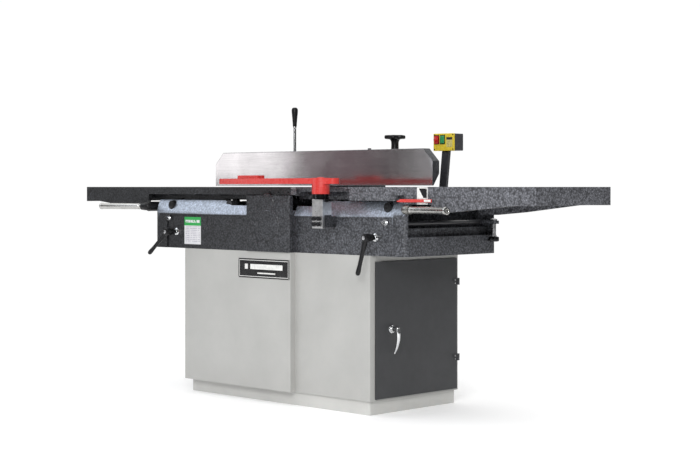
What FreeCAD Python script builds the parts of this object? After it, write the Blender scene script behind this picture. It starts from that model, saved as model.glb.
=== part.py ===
import FreeCAD, Part
import math
import os

# A wide parallelogram jointer: a cast trough on a sheet-metal cabinet carries two tables on
# eccentric cranks, a helical cutterhead between them, a tilting fence, a swinging guard and
# the motor drive. Millimetres. +X runs along the tables towards the infeed end, +Y away from
# the operator, +Z up. The origin is on the floor, under the cutterhead, in the plinth's middle.

V = FreeCAD.Vector

# ---------------------------------------------------------------- driving dimensions
TABLE_TOP = 830.0
TABLE_FRONT = -272.0
TABLE_BACK = 148.0
TABLE_PLATE = 18.0
EDGE_DEPTH = 30.0
SKIRT = 14.0
OUTFEED_END = -1179.0
INFEED_END = 1282.0
OUTFEED_LIP = -36.0
INFEED_LIP = 50.0
OUTFEED_FRONT_RIB = -225.0
OUTFEED_RIB_LOW = 783.0
INFEED_FRONT_RIB = -201.0
INFEED_RIB_LOW = 783.0
LEDGE_END = 430.0
APRON_END = 660.0

PLINTH_HALF = 501.0
PLINTH_FRONT = -237.0
PLINTH_BACK = 238.0
PLINTH_TOP = 52.0
CABINET_LEFT = -503.0
CABINET_RIGHT = 515.0
CABINET_JOG = 121.0
LEFT_FRONT = -273.0
RIGHT_FRONT = -249.0
CASTING_FLOOR = 581.0
SHEET = 3.0

FLOOR_HOLE_X = 470.0
FLOOR_HOLE_Y = 190.0
FLOOR_HOLE_R = 7.0
PORT_Y = -45.0
PORT_Z = 400.0
PORT_R = 60.5
PORT_END = -563.0

DOOR_X = 515.5
DOOR_FACE = 521.0
DOOR_FRONT = -224.0
DOOR_REAR = 227.5
DOOR_LOW = 58.0
DOOR_HIGH = 558.0
HINGE_X = 522.0
HINGE_Y = 233.0
HINGE_BANDS = ((165, 191), (455, 481))
HINGE_PIN_R = 3.0
HANDLE_Y = -141.0
HANDLE_Z = 310.0
SPINDLE_R = 6.5
HANDLE_CURVE = ((30, 2, 8.0), (33, -14, 7.5), (33, -34, 6.5), (29, -55, 5.4), (22, -74, 4.3), (14, -88, 3.4))

CASTING_HALF = 691.0
WING_FRONT_LEFT = -277.0
WING_FRONT_RIGHT = -253.0
CENTRE_FRONT = -280.0
CENTRE_LEFT = -125.0
CASTING_BACK = 254.0
WALL = 14.0
WALL_TOP = 777.0
BEVEL_FOOT = 723.5
BEVEL_RUN = 27.0
CORNER_R = 18.0
RECESS = 5.0
RECESS_TOP = 716.0
RECESS_END = 614.0
SHOULDER_DIP = 757.0
BEAD_X = 634.0
STOP_X = 714.0
STOP_Y = 212.0
STOP_LUG = (692.0, 704.0)
STOP_R = 8.5
POINTER_X = 672.0
CLAMP_X = 548.0
CLAMP_Z = 648.0
CLAMP_ARM = 128.0

HEAD_Z = 777.0
HEAD_BODY_R = 50.0
CUTTING_R = 53.0
HEAD_FRONT = -238.0
HEAD_BACK = 150.0
JOURNAL_R = 15.0
BEARING_R = 31.0
INSERT_ROWS = 6
INSERTS_PER_ROW = 13

SHAFT_Z = 756.0
SHAFT_R = 12.0
OUTER_SHAFT_X = 597.0
INNER_SHAFT_X = 250.0
CRANK_THROW = 30.0
INFEED_CRANK_DEG = 12.5
PIN_R = 9.0
RUNNING_GAP = 0.08
EAR_FRONT = (-200.0, -184.0)
EAR_BACK = (100.0, 116.0)
LEVER_BOSS_X = 718.0
LEVER_Z = 749.0
GRIP_LENGTH = 220.0
GRIP_R = 13.0

FENCE_FACE = 13.0
FENCE_DEPTH = 38.0
FENCE_BOTTOM = 835.0
FENCE_TOP = 974.0
FENCE_LEFT = -647.0
FENCE_RIGHT = 585.0
FENCE_CHAMFER = 48.0
TILT_Y = 35.0
TILT_Z = 895.0
RAM_HALF = 70.0
RAM_LOW = 838.0
RAM_HIGH = 871.5
EAR_X = 180.0
LOCK_X = -265.0
LOCK_Y = 116.0
LOCK_Z = 928.0
KNOB_X = 300.0
KNOB_FOOT = 975.5
KNOB_TOP = 1031.0

GUARD_X = 335.0
GUARD_Y = -322.0

MOTOR_Z = 262.0
MOTOR_R = 92.0
PULLEY_HEAD_R = 42.0
PULLEY_MOTOR_R = 63.0
PULLEY_FRONT = 199.0
PULLEY_BACK = 231.0
GROOVE_WIDTH = 8.8
BELT_CENTRES = (205.0, 215.0, 225.0)

SWITCH_X = (399.0, 501.0)
SWITCH_Y = (236.0, 289.0)
SWITCH_Z = (970.0, 1036.0)
STOP_BUTTON_X = (405.0, 425.0)
START_BUTTON_X = (434.0, 454.0)
BUTTON_Z = (998.0, 1028.0)

PARTS = {}


# ---------------------------------------------------------------- small shape makers
def box(x, y, z):
    return Part.makeBox(x[1] - x[0], y[1] - y[0], z[1] - z[0], V(x[0], y[0], z[0]))


def rod(axis, at, span, radius):
    """A cylinder along an axis; at is its place on the other two axes, in XYZ order."""
    length = span[1] - span[0]
    if axis == "x":
        return Part.makeCylinder(radius, length, V(span[0], at[0], at[1]), V(1, 0, 0))
    if axis == "y":
        return Part.makeCylinder(radius, length, V(at[0], span[0], at[1]), V(0, 1, 0))
    return Part.makeCylinder(radius, length, V(at[0], at[1], span[0]), V(0, 0, 1))


def tube(axis, at, span, radius, bore):
    return rod(axis, at, span, radius).cut(rod(axis, at, (span[0] - 1, span[1] + 1), bore))


def point(axis, u, v, w):
    if axis == "x":
        return V(w, u, v)
    if axis == "y":
        return V(u, w, v)
    return V(u, v, w)


def prism(axis, outline, span):
    """A polygon in the plane across an axis, drawn out along it."""
    corners = [point(axis, u, v, span[0]) for u, v in outline]
    face = Part.Face(Part.makePolygon(corners + corners[:1]))
    return face.extrude(point(axis, 0, 0, span[1] - span[0]))


def fused(shapes):
    return shapes[0].multiFuse(list(shapes[1:])).removeSplitter()


def rounded_block(x, y, z, radius):
    """A block with its four upright edges rounded."""
    block = box(x, y, z)
    upright = [e for e in block.Edges if abs(e.tangentAt(e.FirstParameter).z) > 0.99]
    return block.makeFillet(radius, upright)


def softened(shape, radius):
    return shape.makeFillet(radius, shape.Edges)


def slot_link(a, b, radius_a, radius_b, y):
    """A flat link across Y whose two round ends are joined by straight tangents."""
    dx = b[0] - a[0]
    dz = b[1] - a[1]
    length = math.hypot(dx, dz)
    along = math.atan2(dz, dx)
    lean = math.acos((radius_a - radius_b) / length)
    corners = []
    for centre, radius, side in ((a, radius_a, 1), (b, radius_b, 1), (b, radius_b, -1), (a, radius_a, -1)):
        angle = along + side * lean
        corners.append((centre[0] + radius * math.cos(angle), centre[1] + radius * math.sin(angle)))
    return fused([prism("y", corners, y), rod("y", a, y, radius_a), rod("y", b, y, radius_b)])


def hexagon(at, across_corners_r):
    return [
        (at[0] + across_corners_r * math.cos(math.radians(60 * k)),
         at[1] + across_corners_r * math.sin(math.radians(60 * k)))
        for k in range(6)
    ]


def group(shapes):
    return Part.makeCompound(list(shapes))


def keep(node, shape):
    PARTS[node] = shape


# ---------------------------------------------------------------- cabinet and plinth
def make_plinth():
    wall = 4.0
    flange = 62.0
    outer = rounded_block((-PLINTH_HALF, PLINTH_HALF), (PLINTH_FRONT, PLINTH_BACK), (0, PLINTH_TOP), 8)
    inner = box(
        (-PLINTH_HALF + wall, PLINTH_HALF - wall),
        (PLINTH_FRONT + wall, PLINTH_BACK - wall),
        (5, PLINTH_TOP + 1),
    )
    window = box(
        (-PLINTH_HALF + flange, PLINTH_HALF - flange),
        (PLINTH_FRONT + wall, PLINTH_BACK - wall),
        (-1, 6),
    )
    tray = outer.cut(inner).cut(window)
    for x in (-FLOOR_HOLE_X, FLOOR_HOLE_X):
        for y in (-FLOOR_HOLE_Y, FLOOR_HOLE_Y):
            tray = tray.cut(rod("z", (x, y), (-1, 6), FLOOR_HOLE_R))
    keep("plinth", tray)


def make_cabinet():
    low = PLINTH_TOP
    high = CASTING_FLOOR
    flange = 25.0
    left_front = fused([
        box((CABINET_LEFT, CABINET_JOG), (LEFT_FRONT, LEFT_FRONT + SHEET), (low, high)),
        box((CABINET_JOG - SHEET, CABINET_JOG), (LEFT_FRONT, RIGHT_FRONT + SHEET), (low, high)),
        box((CABINET_LEFT + SHEET, CABINET_JOG), (LEFT_FRONT, LEFT_FRONT + flange), (high - SHEET, high)),
    ])
    keep("cabinet_left_front_panel", left_front)

    right_front = fused([
        box((CABINET_JOG, CABINET_RIGHT - SHEET), (RIGHT_FRONT, RIGHT_FRONT + SHEET), (low, high)),
        box((CABINET_JOG, CABINET_RIGHT - SHEET), (RIGHT_FRONT, RIGHT_FRONT + flange), (high - SHEET, high)),
    ])
    keep("cabinet_right_front_panel", right_front)

    side = box((CABINET_LEFT, CABINET_LEFT + SHEET), (LEFT_FRONT + SHEET, PLINTH_BACK - SHEET), (low, high))
    side = side.cut(rod("x", (PORT_Y, PORT_Z), (CABINET_LEFT - 1, CABINET_LEFT + SHEET + 1), PORT_R))
    keep("cabinet_left_side_panel", side)

    frame = box((CABINET_RIGHT - SHEET, CABINET_RIGHT), (RIGHT_FRONT, PLINTH_BACK), (low, high))
    frame = frame.cut(box((CABINET_RIGHT - SHEET - 1, CABINET_RIGHT + 1), (-205, 215), (75, 545)))
    keep("cabinet_right_side_frame", frame)

    rear = box((CABINET_LEFT, CABINET_RIGHT - SHEET), (PLINTH_BACK - SHEET, PLINTH_BACK), (low, high))
    louvres = [
        box((x, x + 120), (PLINTH_BACK - SHEET - 1, PLINTH_BACK + 1), (z, z + 8))
        for x in (-60, 120)
        for z in range(150, 330, 26)
    ]
    rear = rear.cut(group(louvres))
    keep("cabinet_rear_panel", rear)

    floor = box(
        (CABINET_LEFT + SHEET, CABINET_RIGHT - SHEET),
        (RIGHT_FRONT + SHEET, PLINTH_BACK - SHEET),
        (low, low + SHEET),
    )
    keep("cabinet_floor", floor)


def tapered_run(stations):
    """The lever's horn: balls of falling radius, each joined to the next by a cone."""
    solids = []
    centres = [(V(DOOR_FACE + out, HANDLE_Y, HANDLE_Z + drop), radius) for out, drop, radius in stations]
    for centre, radius in centres:
        solids.append(Part.makeSphere(radius, centre))
    for (start, start_r), (end, end_r) in zip(centres, centres[1:]):
        along = end - start
        solids.append(Part.makeCone(start_r, end_r, along.Length, start, along))
    return solids


def make_door():
    pan = box((DOOR_X, DOOR_FACE), (DOOR_FRONT, DOOR_REAR), (DOOR_LOW, DOOR_HIGH))
    hollow = box((DOOR_X - 1, DOOR_FACE - 2), (DOOR_FRONT + 2, DOOR_REAR - 2), (DOOR_LOW + 2, DOOR_HIGH - 2))
    pan = pan.cut(hollow)
    pan = pan.cut(rod("x", (HANDLE_Y, HANDLE_Z), (DOOR_X - 1, DOOR_FACE + 1), SPINDLE_R + 0.6))
    knuckles = []
    leaves = []
    for low, high in HINGE_BANDS:
        middle = (low + high) / 2
        knuckles.append(tube("z", (HINGE_X, HINGE_Y), (middle + 0.3, high), 5.5, HINGE_PIN_R + 0.1))
        knuckles.append(
            box((DOOR_FACE, DOOR_FACE + 2), (DOOR_REAR - 24, HINGE_Y - 4), (middle + 0.3, high))
        )
        leaf = fused([
            rod("z", (HINGE_X, HINGE_Y), (low, middle), 5.5),
            rod("z", (HINGE_X, HINGE_Y), (low, high), HINGE_PIN_R),
            box((CABINET_RIGHT, HINGE_X), (HINGE_Y + 0.5, HINGE_Y + 5), (low, middle)),
        ])
        leaves.append(leaf)
    keep("cabinet_door", fused([pan] + knuckles))
    keep("door_hinge_leaves", group(leaves))

    hub = rod("x", (HANDLE_Y, HANDLE_Z), (DOOR_FACE + 6.3, DOOR_FACE + 30), 8)
    spindle = rod("x", (HANDLE_Y, HANDLE_Z), (500, DOOR_FACE + 8), SPINDLE_R)
    keep("door_lever", fused([hub, spindle] + tapered_run(HANDLE_CURVE)))
    tongue = box((502, 508), (-203, HANDLE_Y + 14), (HANDLE_Z - 9, HANDLE_Z + 9))
    keep("door_latch_tongue", tongue.cut(rod("x", (HANDLE_Y, HANDLE_Z), (499, 511), SPINDLE_R)))


# ---------------------------------------------------------------- base casting
def wing_profile(front):
    """Section of a wing's front wall: upright below, leaning back above the bevel foot."""
    return [
        (front, CASTING_FLOOR),
        (front, BEVEL_FOOT),
        (front + BEVEL_RUN, WALL_TOP),
        (front + BEVEL_RUN + WALL, WALL_TOP),
        (front + WALL + 1, BEVEL_FOOT),
        (front + WALL + 1, CASTING_FLOOR),
    ]


def shoulder_cutter(side, inner_x):
    """The space above the S-shaped dip of a wing's top, next to the centre section."""
    crest = WALL_TOP + 1
    dip = SHOULDER_DIP
    outer_x = 295.0
    foot_x = 220.0
    middle_x = (outer_x + foot_x) / 2
    middle_z = (crest + dip) / 2
    y = -310.0
    start = V(side * outer_x, y, crest)
    middle = V(side * middle_x, y, middle_z)
    end = V(side * foot_x, y, dip)
    upper = V(side * (outer_x - 21), y, crest - 3.2)
    lower = V(side * (foot_x + 21), y, dip + 3.2)
    edges = [
        Part.Arc(start, upper, middle).toShape(),
        Part.Arc(middle, lower, end).toShape(),
        Part.makeLine(end, V(side * inner_x, y, dip)),
        Part.makeLine(V(side * inner_x, y, dip), V(side * inner_x, y, 830)),
        Part.makeLine(V(side * inner_x, y, 830), V(side * outer_x, y, 830)),
        Part.makeLine(V(side * outer_x, y, 830), start),
    ]
    return Part.Face(Part.Wire(edges)).extrude(V(0, 140, 0))


def make_wing(side, front, inner_x):
    """One wing's front wall, with its recessed lower panel and rounded end corner."""
    low_x, high_x = sorted((side * inner_x, side * CASTING_HALF))
    wall = prism("x", wing_profile(front), (low_x, high_x))
    corner = rounded_block(
        tuple(sorted((side * (inner_x - 60), side * CASTING_HALF))), (front, 300), (500, 900), CORNER_R
    )
    wall = wall.common(corner).cut(shoulder_cutter(side, inner_x))
    recess_x = tuple(sorted((side * (inner_x - 1), side * RECESS_END)))
    panel = box(recess_x, (front - 1, front + RECESS), (CASTING_FLOOR - 1, RECESS_TOP))
    top_corner = [
        e for e in panel.Edges
        if e.Length < 7 and abs(e.CenterOfMass.z - RECESS_TOP) < 1
        and abs(abs(e.CenterOfMass.x) - RECESS_END) < 1
    ]
    return wall.cut(panel.makeFillet(20, top_corner))


def make_casting():
    floor = CASTING_FLOOR
    back = (CASTING_BACK - WALL, CASTING_BACK)
    length = (-CASTING_HALF, CASTING_HALF)
    height = (floor, WALL_TOP)
    back_wall = rounded_block(length, (100, CASTING_BACK), height, CORNER_R).common(box(length, back, height))
    walls = [
        make_wing(-1, WING_FRONT_LEFT, -CENTRE_LEFT),
        make_wing(1, WING_FRONT_RIGHT, CABINET_JOG),
        back_wall,
    ]
    for side, front in ((-1, WING_FRONT_LEFT), (1, WING_FRONT_RIGHT)):
        y = (front + WALL, CASTING_BACK - WALL + 1)
        end = tuple(sorted((side * (CASTING_HALF - WALL), side * CASTING_HALF)))
        beam = tuple(sorted((side * 640, side * 654)))
        bay = tuple(sorted((side * 110, side * CASTING_HALF - side)))
        walls.append(box(end, y, (floor, 650)))
        walls.append(box(beam, y, (floor, 680)))
        walls.append(box(bay, y, (floor, floor + WALL)))
    centre = (CENTRE_LEFT, CABINET_JOG)
    walls.append(rounded_block(centre, (CENTRE_FRONT, CENTRE_FRONT + 24), (floor, 797), 7))
    for x in (CENTRE_LEFT, CABINET_JOG - WALL):
        walls.append(box((x, x + WALL), (-258, 241), (floor, 740)))
        walls.append(box((x, x + WALL), (172, 241), (739, WALL_TOP)))
    walls.append(box(centre, (154, 170), (floor, 797)))
    for z, radius in ((770, 36), (688, 64)):
        walls.append(Part.makeCone(radius - 3, radius, 3, V(0, CENTRE_FRONT - 3, z), V(0, 1, 0)))
    bead_y = (WING_FRONT_RIGHT - 2, WING_FRONT_RIGHT + 1)
    walls.append(box((BEAD_X - 2.5, BEAD_X + 2.5), bead_y, (floor, BEVEL_FOOT)))
    for span in ((-258, -242), (154, 170)):
        walls.append(rod("y", (0, HEAD_Z), span, 40))
    for side, front in ((-1, WING_FRONT_LEFT), (1, WING_FRONT_RIGHT)):
        for x in (OUTER_SHAFT_X, INNER_SHAFT_X):
            walls.append(rod("y", (side * x, SHAFT_Z), (front + 20, front + 50), 20))
            walls.append(rod("y", (side * x, SHAFT_Z), (222, CASTING_BACK), 20))
    lug_root = CASTING_HALF - 2 * WALL
    walls.append(box((lug_root, CASTING_HALF - 1), (STOP_Y - 15, CASTING_BACK - WALL + 4), STOP_LUG))
    walls.append(box((lug_root, STOP_X + 13), (STOP_Y - 15, STOP_Y + 15), STOP_LUG))
    body = fused(walls)

    cuts = []
    for side, front in ((-1, WING_FRONT_LEFT), (1, WING_FRONT_RIGHT)):
        cuts.append(rod("y", (side * OUTER_SHAFT_X, SHAFT_Z), (front - 5, front + 20), 18))
        for x in (OUTER_SHAFT_X, INNER_SHAFT_X):
            cuts.append(rod("y", (side * x, SHAFT_Z), (front + 19, 300), SHAFT_R + RUNNING_GAP))
    cuts.append(rod("y", (0, HEAD_Z), (-258, -241), BEARING_R))
    cuts.append(rod("y", (0, HEAD_Z), (153, 171), BEARING_R))
    cuts.append(box((CENTRE_LEFT + WALL, CABINET_JOG - WALL), (-256, 154), (floor - 1, floor + WALL + 1)))
    cuts.append(box((CENTRE_LEFT + WALL, CABINET_JOG - WALL), (170, 240), (floor - 1, floor + WALL + 1)))
    cuts.append(rod("z", (STOP_X, STOP_Y), (STOP_LUG[0] - 5, STOP_LUG[1] + 5), STOP_R + RUNNING_GAP))
    keep("base_casting", body.cut(group(cuts)))


def make_casting_fittings():
    plugs = []
    bolts = []
    studs = []
    bars = []
    for side, front in ((-1, WING_FRONT_LEFT), (1, WING_FRONT_RIGHT)):
        plugs.append(rod("y", (side * OUTER_SHAFT_X, SHAFT_Z), (front + 8, front + 19.5), 18))
        at = (side * 598.0, 702.0)
        face = front + RECESS
        nut = prism("y", hexagon(at, 11), (face - 8, face))
        washer = rod("y", at, (face - 10, face - 7), 12)
        bolts.append(fused([nut, rod("y", at, (face - 24, face), 6), washer]))
        at = (side * CLAMP_X, CLAMP_Z)
        studs.append(fused([rod("y", at, (face - 9, face), 15), rod("y", at, (face - 20, face), 9)]))
        bars.append(rod("y", (side * 636.0, 698.0), (front + 15, CASTING_BACK - WALL), 9))
    keep("shaft_plugs", group(plugs))
    keep("lever_stop_bolts", group(bolts))
    keep("clamp_studs", group(studs))
    keep("end_tie_bars", group(bars))

    strap = box((POINTER_X, POINTER_X + 18), (-277, -220), (WALL_TOP, WALL_TOP + 5))
    blade = box((POINTER_X + 15, POINTER_X + 164), (-279.5, -276.5), (776, 787))
    keep("depth_pointer", fused([strap, blade]))

    plate = box((-174, 116), (LEFT_FRONT - 1.2, LEFT_FRONT), (477, 552))
    keep("name_plate", plate)


def make_clamp_lever(node, side, front, lean_deg):
    """An adjustable clamping handle: a hub over the stud and a tapered arm hanging from it."""
    at = (side * CLAMP_X, CLAMP_Z)
    near = front + RECESS - 20.3
    far = near - 42
    hub = rod("y", at, (far, near), 14)
    lean = math.radians(lean_deg)
    along = V(-math.sin(lean), -0.10, -math.cos(lean))
    along.normalize()
    root = V(at[0], far + 13, at[1])
    arm = Part.makeCone(11, 8.5, CLAMP_ARM, root, along)
    tip = Part.makeSphere(8.5, root + along * CLAMP_ARM)
    keep(node, fused([hub, arm, tip]))


# ---------------------------------------------------------------- tables and their cranks
def pin_offset(side, crank_deg):
    angle = math.radians(crank_deg)
    return side * CRANK_THROW * math.cos(angle), CRANK_THROW * math.sin(angle)


def make_table(side, end, lip, crank_deg, ribs, skirt_points, rear_points):
    """A table: plate, edge lips, deep end skirts, ribs, and ears that hang on the crank pins."""
    front_rib, rib_low = ribs
    low = TABLE_TOP - TABLE_PLATE
    reach = tuple(sorted((lip, end)))
    front = (TABLE_FRONT, TABLE_FRONT + SKIRT)
    back = (TABLE_BACK - SKIRT, TABLE_BACK)
    solids = [box(reach, (TABLE_FRONT, TABLE_BACK), (low, TABLE_TOP))]
    solids.append(box(reach, front, (TABLE_TOP - EDGE_DEPTH, TABLE_TOP)))
    solids.append(box(reach, back, (rib_low, TABLE_TOP)))
    solids.append(prism("y", skirt_points, front))
    solids.append(prism("y", rear_points, back))
    end_wall = tuple(sorted((end, end - side * SKIRT)))
    solids.append(box(end_wall, (TABLE_FRONT, TABLE_BACK), (TABLE_TOP - 62, TABLE_TOP)))

    rib_reach = tuple(sorted((lip + side * 45, end - side * 10)))
    for y in (front_rib, -52.0, 101.0):
        solids.append(box(rib_reach, (y, y + 12), (rib_low, low + 1)))
    cross = lip + side * 100
    while abs(cross) < abs(end) - 60:
        solids.append(box((cross - 5, cross + 5), (TABLE_FRONT + 2, TABLE_BACK - 2), (796, low + 1)))
        cross += side * 160

    dx, dz = pin_offset(side, crank_deg)
    bores = []
    for x in (OUTER_SHAFT_X, INNER_SHAFT_X):
        at = (side * x + dx, SHAFT_Z + dz)
        for y in (EAR_FRONT, EAR_BACK):
            solids.append(rod("y", at, y, 15))
            solids.append(box((at[0] - 12, at[0] + 12), y, (at[1], low + 1)))
            bores.append(rod("y", at, (y[0] - 1, y[1] + 1), PIN_R + RUNNING_GAP))
    return fused(solids), bores


def make_tables():
    end = OUTFEED_END
    front_skirt = [
        (end, TABLE_TOP), (end, 769), (-1088, 769), (-930, 752), (-768, 750),
        (-752, 762), (-742, 775), (-742, TABLE_TOP),
    ]
    rear_skirt = [
        (end, TABLE_TOP), (end, 769), (-1050, 765), (-800, 728), (-720, 728), (-700, 742), (-700, TABLE_TOP),
    ]
    ribs = (OUTFEED_FRONT_RIB, OUTFEED_RIB_LOW)
    body, bores = make_table(-1, end, OUTFEED_LIP, 0.0, ribs, front_skirt, rear_skirt)
    nose = box((OUTFEED_LIP - 10, 119.5), (TABLE_FRONT, TABLE_FRONT + 12), (800, TABLE_TOP))
    body = fused([body, nose])
    cuts = bores + [rod("y", (0, HEAD_Z), (-259.5, 200), CUTTING_R + 5)]
    cuts += [rod("y", (x, 809), (TABLE_FRONT - 1, TABLE_FRONT + 9), 4) for x in (6, 56, 107)]
    cuts.append(box((-20, 70), (TABLE_FRONT + 12, 200), (700, TABLE_TOP + 5)))
    keep("outfeed_table", body.cut(group(cuts)))

    end = INFEED_END
    front_skirt = [
        (end, TABLE_TOP), (end, 767), (1191, 767), (914, 742), (840, 741),
        (828, 748), (828, 768), (702, 768), (702, TABLE_TOP),
    ]
    rear_skirt = [
        (end, TABLE_TOP), (end, 767), (1160, 766), (920, 738), (790, 727), (720, 727),
        (702, 742), (702, TABLE_TOP),
    ]
    ribs = (INFEED_FRONT_RIB, INFEED_RIB_LOW)
    body, bores = make_table(1, end, INFEED_LIP, INFEED_CRANK_DEG, ribs, front_skirt, rear_skirt)
    block = box((122.5, 153), (TABLE_FRONT - 1.5, TABLE_FRONT + 20), (800, TABLE_TOP))
    apron = box((LEDGE_END, APRON_END), (TABLE_FRONT, TABLE_FRONT + SKIRT), (INFEED_RIB_LOW - 3, TABLE_TOP))
    clear = [
        box((INFEED_LIP - 5, 122.5), (TABLE_FRONT - 2, TABLE_FRONT + 14), (780, TABLE_TOP + 1)),
        rod("y", (0, HEAD_Z), (-300, 200), CUTTING_R + 5),
        rod("y", (0, HEAD_Z + 13), (-300, 200), CUTTING_R + 5),
        box((0, CUTTING_R + 5), (-300, 200), (HEAD_Z, HEAD_Z + 13)),
        box((153, LEDGE_END), (TABLE_FRONT - 1, TABLE_FRONT + SKIRT), (790, TABLE_TOP - 8)),
    ]
    keep("infeed_table", fused([body, block, apron]).cut(group(bores + clear)))
    scale = box((764, 813), (TABLE_FRONT - 1.2, TABLE_FRONT), (768.5, 828.5))
    keep("depth_scale", scale)


def make_crank(node, side, x, front, crank_deg):
    """A cross shaft with two webs; each web holds a pin, off centre by the throw."""
    dx, dz = pin_offset(side, crank_deg)
    centre = (side * x, SHAFT_Z)
    pin = (centre[0] + dx, centre[1] + dz)
    solids = [rod("y", centre, (front + 20.5, CASTING_BACK), SHAFT_R)]
    for web, pin_span in (((-181.5, -170), (-202, -171)), ((86, 98.5), (97, 118))):
        solids.append(slot_link(centre, pin, 18, 14, web))
        solids.append(rod("y", pin, pin_span, PIN_R))
    keep(node, fused(solids))


def make_lift_lever(name, side, grip_y, splay_deg):
    """A lever arm keyed to the outer shaft, and the steel grip that is screwed into its boss."""
    shaft = (side * OUTER_SHAFT_X, SHAFT_Z)
    boss = (side * LEVER_BOSS_X, LEVER_Z)
    arm_y = (-166.0, -150.0)
    arm = slot_link(shaft, boss, 21, 13, arm_y)
    arm = arm.cut(rod("y", shaft, (arm_y[0] - 1, arm_y[1] + 1), SHAFT_R))
    neck = rod("y", boss, (grip_y, arm_y[1]), 10)
    along = V(side * math.cos(math.radians(splay_deg)), -math.sin(math.radians(splay_deg)), 0)
    start = V(boss[0], grip_y, boss[1])
    socket = Part.makeCylinder(15, 32, start - along * 6, along)
    keep(name + "_lever_arm", fused([arm, neck, socket, Part.makeSphere(15, start - along * 6)]))
    grip = Part.makeCylinder(GRIP_R, GRIP_LENGTH, start + along * 26, along)
    recess = Part.makeCylinder(6.5, 12, start + along * (26 + GRIP_LENGTH - 11), along)
    keep(name + "_lever_grip", grip.cut(recess))


# ---------------------------------------------------------------- cutterhead and drive
def make_cutterhead():
    body = fused([
        rod("y", (0, HEAD_Z), (HEAD_FRONT, HEAD_BACK), HEAD_BODY_R),
        rod("y", (0, HEAD_Z), (-256, 236), JOURNAL_R),
    ])
    inserts = []
    pockets = []
    pitch = (HEAD_BACK - HEAD_FRONT - 24) / (INSERTS_PER_ROW - 1)
    for row in range(INSERT_ROWS):
        for k in range(INSERTS_PER_ROW):
            y = HEAD_FRONT + 12 + k * pitch
            turn = row * 360.0 / INSERT_ROWS + k * 9.0
            centre = V(0, 0, HEAD_Z)
            insert = box((-7, 7), (y - 7, y + 7), (HEAD_Z + 49.4, HEAD_Z + 52.2))
            pocket = box((-8.5, 16), (y - 8.5, y + 8.5), (HEAD_Z + 49.4, HEAD_Z + 60))
            insert.rotate(centre, V(0, 1, 0), turn)
            pocket.rotate(centre, V(0, 1, 0), turn)
            inserts.append(insert)
            pockets.append(pocket)
    keep("cutterhead", body.cut(group(pockets)))
    keep("cutter_inserts", group(inserts))
    bearings = [
        tube("y", (0, HEAD_Z), span, BEARING_R, JOURNAL_R + RUNNING_GAP)
        for span in ((-256, -241), (155, 170))
    ]
    keep("head_bearings", group(bearings))


def pulley(z, rim_r, bore_r):
    body = tube("y", (0, z), (PULLEY_FRONT, PULLEY_BACK), rim_r + 5, bore_r)
    for y in BELT_CENTRES:
        span = (y - GROOVE_WIDTH / 2, y + GROOVE_WIDTH / 2)
        body = body.cut(tube("y", (0, z), span, rim_r + 9, rim_r - 1))
    return body


def belt_hull(grow, y):
    return slot_link((0, MOTOR_Z), (0, HEAD_Z), PULLEY_MOTOR_R + grow, PULLEY_HEAD_R + grow, y)


def make_drive():
    keep("head_pulley", pulley(HEAD_Z, PULLEY_HEAD_R, JOURNAL_R))
    keep("motor_pulley", pulley(MOTOR_Z, PULLEY_MOTOR_R, SHAFT_R))
    belts = []
    for y in BELT_CENTRES:
        outer = belt_hull(6.0, (y - 4, y + 4))
        belts.append(outer.cut(belt_hull(-0.5, (y - 5, y + 5))))
    keep("drive_belts", group(belts))

    at = (0, MOTOR_Z)
    shell = rod("y", at, (-110, 165), MOTOR_R - 6)
    fins = []
    for k in range(24):
        fin = box((-1.6, 1.6), (-80, 130), (MOTOR_Z + MOTOR_R - 8, MOTOR_Z + MOTOR_R))
        fin.rotate(V(0, 0, MOTOR_Z), V(0, 1, 0), k * 15.0)
        fins.append(fin)
    feet = box((-88, 88), (-60, 120), (160, 190))
    terminal_box = box((82, 128), (-20, 60), (MOTOR_Z - 30, MOTOR_Z + 30))
    cavity = rod("y", at, (-96, 150), 70)
    bore = rod("y", at, (149, 166), SHAFT_R + RUNNING_GAP)
    keep("motor_housing", fused([shell, feet, terminal_box] + fins).cut(group([cavity, bore])))
    rotor = fused([rod("y", at, (-80, 135), 55), rod("y", at, (-90, 232), SHAFT_R)])
    keep("motor_rotor", rotor)
    bracket = fused([
        box((-135, 135), (-90, 150), (148, 160)),
        box((-135, -127), (-90, 150), (55, 149)),
        box((127, 135), (-90, 150), (55, 149)),
        box((-165, -127), (-90, 150), (55, 61)),
        box((127, 165), (-90, 150), (55, 61)),
    ])
    keep("motor_bracket", bracket)


def make_dust_path():
    outline = [(-109, 579), (105, 579), (105, 530), (-330, 330), (-499, 330), (-499, 470), (-109, 556)]
    inside = [(-107, 580), (103, 580), (103, 531.3), (-330.5, 332), (-497, 332), (-497, 468.4), (-107, 554.4)]
    duct = prism("y", outline, (-235, 145)).cut(prism("y", inside, (-233, 143)))
    duct = duct.cut(rod("x", (PORT_Y, PORT_Z), (-500, -496), PORT_R))
    keep("chip_chute", duct)
    collar = fused([
        rod("x", (PORT_Y, PORT_Z), (PORT_END, CABINET_LEFT), PORT_R + 2),
        rod("x", (PORT_Y, PORT_Z), (CABINET_LEFT - 3, CABINET_LEFT), PORT_R + 22),
    ])
    keep("dust_port", collar.cut(rod("x", (PORT_Y, PORT_Z), (-570, -500), PORT_R)))


# ---------------------------------------------------------------- fence
def fence_outline(inset):
    left = FENCE_LEFT + inset
    right = FENCE_RIGHT - inset
    top = FENCE_TOP - inset
    drop = FENCE_CHAMFER - inset * 0.6
    low = FENCE_BOTTOM + inset
    return [(left, low), (right, low), (right, top - drop), (right - drop, top), (left + drop, top),
            (left, top - drop)]


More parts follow.
